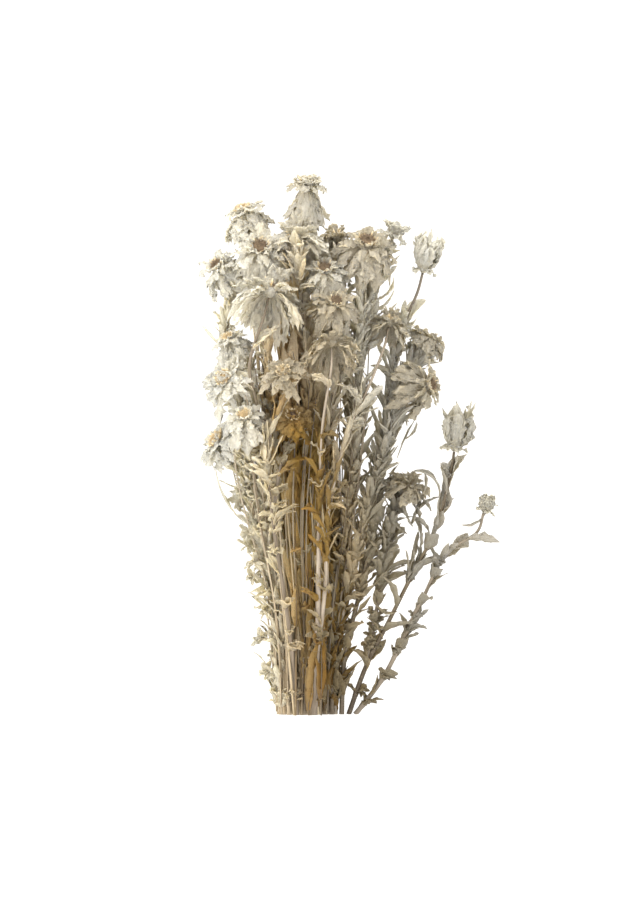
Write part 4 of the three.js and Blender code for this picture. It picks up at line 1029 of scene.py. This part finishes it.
# Blooms. Further rings of finer petals, added to those of the solid: count, root, angles, spread of the
# angles, length, width, cup, gap towards the viewer.
fineRings = {
    "bell": [(9, (3.2, 2.8), (160, 152), 8, 34, 8, -0.4, 0), (9, (3.4, 3.0), (168, 158), 8, 46, 6.5, -0.4, 0),
             (14, (3.9, 3.3), (70, 150), 16, 16, 6, 0.1, 0), (12, (3.9, 3.3), (34, 100), 16, 11, 6, 0.1, 0),
             (16, (3.6, 3.8), (8, 50), 18, 10, 5.0, 0.3, 0)],
    "skirt": [(9, (3.4, 3.0), (110, 166), 14, 27, 8, -0.3, 0),
              (10, (3.2, 2.8), (128, 180), 14, 35, 8, -0.4, 0),
              (11, (3.9, 3.3), (54, 122), 18, 19, 6, -0.1, 0),
              (12, (4.4, 3.6), (14, 66), 12, 9.5, 4.6, 0.3, 0)],
    "parasol": [(14, (3.4, 3.0), (96, 158), 16, 25, 5, -0.3, 104),
                (15, (3.2, 2.8), (116, 172), 16, 32, 4.6, -0.4, 100),
                (17, (3.9, 3.3), (56, 126), 20, 17, 5.5, 0.0, 30),
                (17, (4.2, 3.6), (-4, 50), 18, 18, 5, 0.3, 0)],
    "open": [(9, (3.4, 3.0), (70, 124), 16, 21, 7, -0.2, 0), (10, (3.2, 2.8), (100, 160), 16, 30, 7, -0.3, 0),
             (8, (3.9, 3.3), (44, 96), 14, 13, 6, 0.1, 0), (17, (4.3, 3.8), (8, -30), 22, 8, 4.0, 0.4, 0)],
    "erect": [(9, (3.6, 3.2), (18, 66), 12, 15, 6, 0.3, 0), (7, (2.6, 3.4), (6, 44), 10, 12, 5, 0.3, 0),
              (6, (3.4, 2.6), (70, 120), 14, 13, 6, 0.0, 0)],
    "cap": [(10, (3.2, 3.0), (78, 165), 14, 26, 7, -0.4, 0), (12, (3.4, 3.4), (50, 140), 16, 22, 6, 0.0, 0),
            (10, (2.8, 3.6), (20, 90), 18, 13, 5, 0.2, 0)],
    "pod": [(8, (3.2, 3.0), (50, -40), 9, 28, 9, 0.45, 0), (4, (1.6, 3.4), (4, 34), 14, 32, 5, 0.3, 0),
            (6, (3.2, 2.6), (80, 140), 12, 9, 5, 0.0, 0)],
    "bud": [(8, (3.0, 2.8), (52, -40), 8, 15, 6.5, 0.45, 0), (6, (2.0, 3.2), (20, 70), 16, 14, 4, 0.2, 0),
            (6, (3.2, 2.4), (70, 130), 12, 8, 4.5, 0.0, 0)],
}
amberBlooms = (19,)  # blooms deep in the amber middle
shadedBlooms = (8, 9, 10, 13, 15, 16, 17, 18, 22)  # blooms in the shaded part of the bunch, in a darker, browner copy of the petal look: painted shade
bellCloser = 20  # how many degrees closer the bell's petals are at their roots, and further out at their tips
# How much shorter the fine petals of some blooms are
shortRings = {2: 0.75, 9: 0.85, 10: 0.72, 15: 0.8, 16: 0.6, 23: 0.75, 25: 0.85}
receptacle = {"profile": [(0, 0), (1.3, 0.0), (2.1, 0.9), (4.3, 2.6), (5.5, 4.2), (4.9, 5.0), (3.0, 4.3),
                          (0, 3.3)],
              "sides": 28, "ribs": 14, "rib": 0.06, "bracts": 13}


# A ring of petals round a bloom, each with a bit of chance in its turn, angles and size
def ringOfBlades(rng, frameAt, ring):
    origin, axis, right, near, size = frameAt
    count, root, angles, spread, length, width, cup, gap = ring
    blades = []
    for k in range(count):
        around = pastGap((k + rng.uniform(-0.35, 0.35)) / count * 2 * np.pi + rng.uniform(0, 0.5), gap)
        outward = right * np.cos(around) + near * np.sin(around)
        blades.append({"root": origin + outward * root[0] * size + axis * root[1] * size, "axis": axis,
                       "outward": outward, "start": (angles[0] + rng.uniform(-spread, spread)) * degree,
                       "end": (angles[1] + rng.uniform(-spread, spread)) * degree,
                       "length": length * size * rng.uniform(0.75, 1.12),
                       "width": width * size * rng.uniform(0.75, 1.2), "cup": cup + rng.uniform(-0.15, 0.15),
                       "phase": rng.uniform(0, 6.28)})
    return blades


def makeBloom(number):
    rng = np.random.default_rng(900 + number)
    frameAt = bloomFrame(number)
    style = blooms[number][2]
    bodies = newBodies()
    addTurned(bodies, receptacle["profile"], frameAt, receptacle["sides"], 900, 0, receptacle["ribs"],
              receptacle["rib"])
    shorter = shortRings.get(number, 1.0)
    torn = tornBlades(rng, solidPetals(number), 3.8 if style == "parasol" else 3.3, 10, 0.82, 0.26)
    closer = bellCloser * degree if style == "bell" else 0
    torn = [{**blade, "length": blade["length"] * shorter ** 0.5, "start": blade["start"] + closer,
             "end": blade["end"] - closer} for blade in torn]
    addSheets(bodies, torn, petalWork, 0, 500 + number, 0)
    for k, ring in enumerate(fineRings[style]):
        work = petalWork if ring[4] > 10 else tuftWork
        ring = (*ring[:4], ring[4] * shorter, *ring[5:])
        addSheets(bodies, ringOfBlades(rng, frameAt, ring), work, 0, 550 + 10 * number + k, 40 + 30 * k)
    bracts = ringOfBlades(rng, frameAt, (receptacle["bracts"], (1.6, 0.6), (52, 20), 8, 5.4, 2.0, 0.3, 0))
    addSheets(bodies, bracts, scaleWork, 1, 850 + number, 950)
    look = chaffLook if number in amberBlooms else shadedPetalLook if number in shadedBlooms else petalLook
    makePiece("crinkled_bloom_%02d" % number, bodies, [look, leafLook], "bloom_%02d" % number)


for number in blooms:
    makeBloom(number)
print("bunch: crinkled blooms done,", len(blooms))


# Seed buttons: a dome, set with bristles at the golden angle, and a collar of chaff
button = {"profile": [(0, 3.3), (3.6, 4.5), (4.4, 5.1), (4.6, 6.0), (4.3, 7.1), (3.3, 8.0), (1.8, 8.5),
                      (0, 8.5)],
          "sides": 22, "bristles": 190, "length": 3.0, "thick": 0.3, "dome": 4.4, "top": 8.3, "fall": 2.6,
          "lean": 1.15, "collar": 26}
goldenAngle = 2.399963


# Bristles: four-sided spikes. Spike k stands at the golden angle times k, on a dome whose height falls with
# the cube of the distance from the middle, and leans outwards with it.
def addBristles(bodies, rng, frameAt, count):
    origin, axis, right, near, size = frameAt
    k = np.arange(count)
    share = np.sqrt((k + 0.5) / count)
    around = k * goldenAngle
    outward = right * np.cos(around)[:, None] + near * np.sin(around)[:, None]
    high = (button["top"] - button["fall"] * share ** 3) * size
    foot = origin + outward * (share * button["dome"] * size)[:, None] + axis * high[:, None]
    lean = share * button["lean"] + rng.uniform(-0.25, 0.25, count)
    along = axis * np.cos(lean)[:, None] + outward * np.sin(lean)[:, None]
    across = np.cross(axis, outward)
    third = np.cross(along, across)
    reach = (button["length"] * size * rng.uniform(0.6, 1.3, count))[:, None]
    thick = button["thick"] * size * rng.uniform(0.7, 1.2, count)[:, None]
    low = foot - along * 0.5
    ring = [low + across * thick, low + third * thick, low - across * thick, low - third * thick]
    corners = np.stack(ring + [foot + along * reach], 1).reshape(-1, 3)
    one = np.array([[0, 1, 4, -1], [1, 2, 4, -1], [2, 3, 4, -1], [3, 0, 4, -1], [3, 2, 1, 0]])
    faces = np.where(one < 0, -1, one + 5 * k[:, None, None]).reshape(-1, 4)
    along = np.array([[0.2, 0.2, 0.2, 0.2, 1.0]])
    uv = np.stack(np.broadcast_arrays(k[:, None] + 0.5, along), -1)
    addBody(bodies, corners, faces, uv.reshape(-1, 2))


paleButtons = (1, 2, 10, 14, 15, 18, 23, 24, 25)  # buttons in the tan look; the others are dark brown


def makeButton(number):
    rng = np.random.default_rng(1300 + number)
    origin, axis, right, near, size = bloomFrame(number)
    frameAt = (origin + 0.35 * axis, axis, right, near, size)
    bodies = newBodies()
    addTurned(bodies, button["profile"], frameAt, button["sides"], 500, 0, 11, 0.03)
    addBristles(bodies, rng, frameAt, button["bristles"])
    collar = ringOfBlades(rng, frameAt, (button["collar"], (3.8, 4.6), (44, 24), 16, 6.4, 1.4, 0.2, 0))
    addSheets(bodies, collar, scaleWork, 1, 1400 + number, 600)
    looks = [tanLook if number in paleButtons else brownLook, goldLook]
    makePiece("bristly_button_%02d" % number, bodies, looks, "seed_button_%02d" % number)


buttonNumbers = [number for number in blooms if "seed_button_%02d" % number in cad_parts]
for number in buttonNumbers:
    makeButton(number)
print("bunch: bristly buttons done,", len(buttonNumbers))


# Sheaves of bare straws, with thinner side straws and amber chaff that fill the middle of the bunch
sheaf = {"shoots": 58, "shootRadius": (0.45, 0.9), "shootStart": (-90, 150), "shootEnd": (200, 325),
         "drift": (20, 0, 9), "aside": (9, 0, 3.5), "keepTo": (24, 15), "slim": (0.42, 0.82), "chaff": 480,
         "chaffHalf": 16, "chaffLength": (30, 70), "chaffWidth": (5, 11), "chaffStart": (-6, 12),
         "chaffEnd": (-12, 24)}


# The solid's straws, thinner. Above a height of 80 each sways more and more. The draws for this and their
# order are those of the solid.
def addStraws(bodies, rng, index, name):
    draw = makeDrawer(700 + index)
    routes = []
    for owner, x, z, radius in settled:
        if owner != name:
            continue
        points = []
        for height in (0, 35, 80, 140, draw(*straw["length"])):
            sway = max(0, (height - 80) / 150) * np.array([draw(-1, 1), 0, draw(-1, 1)])
            points.append(openedOut(x, z, height) + sway * straw["sway"])
        t = np.linspace(0, 1, 40)
        slim = rng.uniform(*sheaf["slim"])
        radii = slim * (straw["tip"] + (radius - straw["tip"]) * (1 - t) ** stem["taper"])
        addTube(bodies, linePoints(points, t), lineDirections(points, t), radii, 10, len(routes), 0, 0.05, 5)
        keepOnTable(bodies)
        routes.append(np.array(points))
    return routes


# Thin straws: each follows a part of one of the routes made so far, drifts off it by a power of the share
# along, and stays within the leaning core.
def addShoots(bodies, rng, routes):
    share = np.array([0, 0.3, 0.65, 1.0])
    for k in range(sheaf["shoots"]):
        points = routes[rng.integers(len(routes))]
        low, end = max(0.0, rng.uniform(*sheaf["shootStart"])), rng.uniform(*sheaf["shootEnd"])
        heights = low + (end - low) * share
        spine = np.interp(heights, points[:, 1], np.arange(len(points))) / (len(points) - 1)
        route = linePoints(points, spine)
        route[:, 1] = heights
        drift = rng.uniform((-1, 0, -0.3), (1, 0, 1)) * np.array(sheaf["drift"])
        aside = rng.uniform(-1, 1, (1, 3)) * np.array(sheaf["aside"])
        route = route + aside + drift * share[:, None] ** 1.4
        middle = core["foot"] + core["lean"] * heights
        route[:, 0] = np.clip(route[:, 0], middle - sheaf["keepTo"][0], middle + sheaf["keepTo"][1])
        route[:, 2] = np.maximum(route[:, 2], 1.2)
        t = np.linspace(0, 1, 26)
        radii = rng.uniform(*sheaf["shootRadius"]) * (1 - 0.45 * t)
        look = 2 * (k % 2)  # every other one in the colour of the stems
        addTube(bodies, linePoints(route, t), lineDirections(route, t), radii, 7, 40 + k, look, 0.04, 3)
        routes.append(route)


def makeSheaf(index, name):
    rng = np.random.default_rng(2000 + index)
    bodies = newBodies()
    routes = addStraws(bodies, rng, index, name)
    addShoots(bodies, rng, routes)
    blades = []
    for k in range(sheaf["chaff"]):
        points = routes[rng.integers(len(routes))]
        shares = rng.uniform(0.01, 0.98, 1)
        blades += looseLeaves(rng, points, shares, sheaf["chaffLength"], sheaf["chaffWidth"],
                              sheaf["chaffStart"], sheaf["chaffEnd"], 0.3)
    blades = [blade for blade in blades if insideStrip(blade, sheaf["chaffHalf"])]
    addSheets(bodies, blades, filmWork, 1, 2100 + index, 100)
    makePiece("amber_" + name, bodies, [strawLook, chaffLook, stemLook], name)


for index, name in enumerate(straw["rows"]):
    makeSheaf(index, name)
print("bunch: straw sheaves done,", len(straw["rows"]))


# Stage: a plain pale floor, one big soft lamp from the upper left, and pale light from all round
stage = {"floor": (0.04, 0.04, 0.04), "glow": (1.2, 1.18, 1.14), "half": 6.0, "below": -0.0006, "sun": 2.8,
         "sunAngle": 28, "sunFrom": (-0.8, 0.45, 0.66), "sunColour": (1.0, 0.985, 0.95),
         "sky": (0.97, 0.98, 1.0), "skyLight": 3.15}


def makeFloor():
    mesh = bpy.data.meshes.new("floor")
    size, low = stage["half"], stage["below"]
    mesh.from_pydata([(-size, -size, low), (size, -size, low), (size, size, low), (-size, size, low)], [],
                     [(0, 1, 2, 3)])
    look, tree, grow, shader = newLook("pale floor")
    worn = [0.985 * value for value in stage["floor"]]
    tone = ramp(grow, patches(grow, 3, 2), (0.3, *worn), (0.7, *stage["floor"]))
    tree.links.new(tone, shader.inputs["Base Color"])
    shader.inputs["Roughness"].default_value = 0.9
    shader.inputs["Emission Color"].default_value = (*stage["glow"], 1)
    shader.inputs["Emission Strength"].default_value = 1.0
    mesh.materials.append(look)
    floor = bpy.data.objects.new("floor", mesh)
    bpy.context.scene.collection.objects.link(floor)


def makeLight():
    lamp = bpy.data.lights.new("window light", "SUN")
    lamp.energy = stage["sun"]
    lamp.angle = stage["sunAngle"] * degree
    lamp.color = stage["sunColour"]
    holder = bpy.data.objects.new("window light", lamp)
    towards = -unit(np.array(stage["sunFrom"]))
    holder.rotation_euler = mathutils.Vector(towards).to_track_quat("-Z", "Y").to_euler()
    bpy.context.scene.collection.objects.link(holder)
    world = bpy.data.worlds.new("soft room")
    world.use_nodes = True
    world.node_tree.nodes["Background"].inputs["Color"].default_value = (*stage["sky"], 1)
    world.node_tree.nodes["Background"].inputs["Strength"].default_value = stage["skyLight"]
    bpy.context.scene.world = world
    bpy.context.scene.view_settings.view_transform = "Standard"


# Camera straight above the picture's middle, far off, so that heights hardly change the scale: 0.7 mm a pixel
# at the bunch's mean height, on a picture of 640 by 905
camera = {"middle": (-19.95, 184.45), "meanHeight": 45, "distance": 7000, "tall": 905, "pixel": 0.7}


def makeCamera():
    data = bpy.data.cameras.new("above")
    data.lens = data.sensor_width * camera["distance"] / (camera["tall"] * camera["pixel"])
    data.clip_end = 50
    holder = bpy.data.objects.new("above", data)
    x, y = np.array(camera["middle"]) - outlineMiddle[:2]
    holder.location = (x * metre, y * metre, (camera["distance"] + camera["meanHeight"]) * metre)
    bpy.context.scene.collection.objects.link(holder)
    bpy.context.scene.camera = holder


makeFloor()
makeLight()
makeCamera()
print("bunch: floor, light and camera are set")
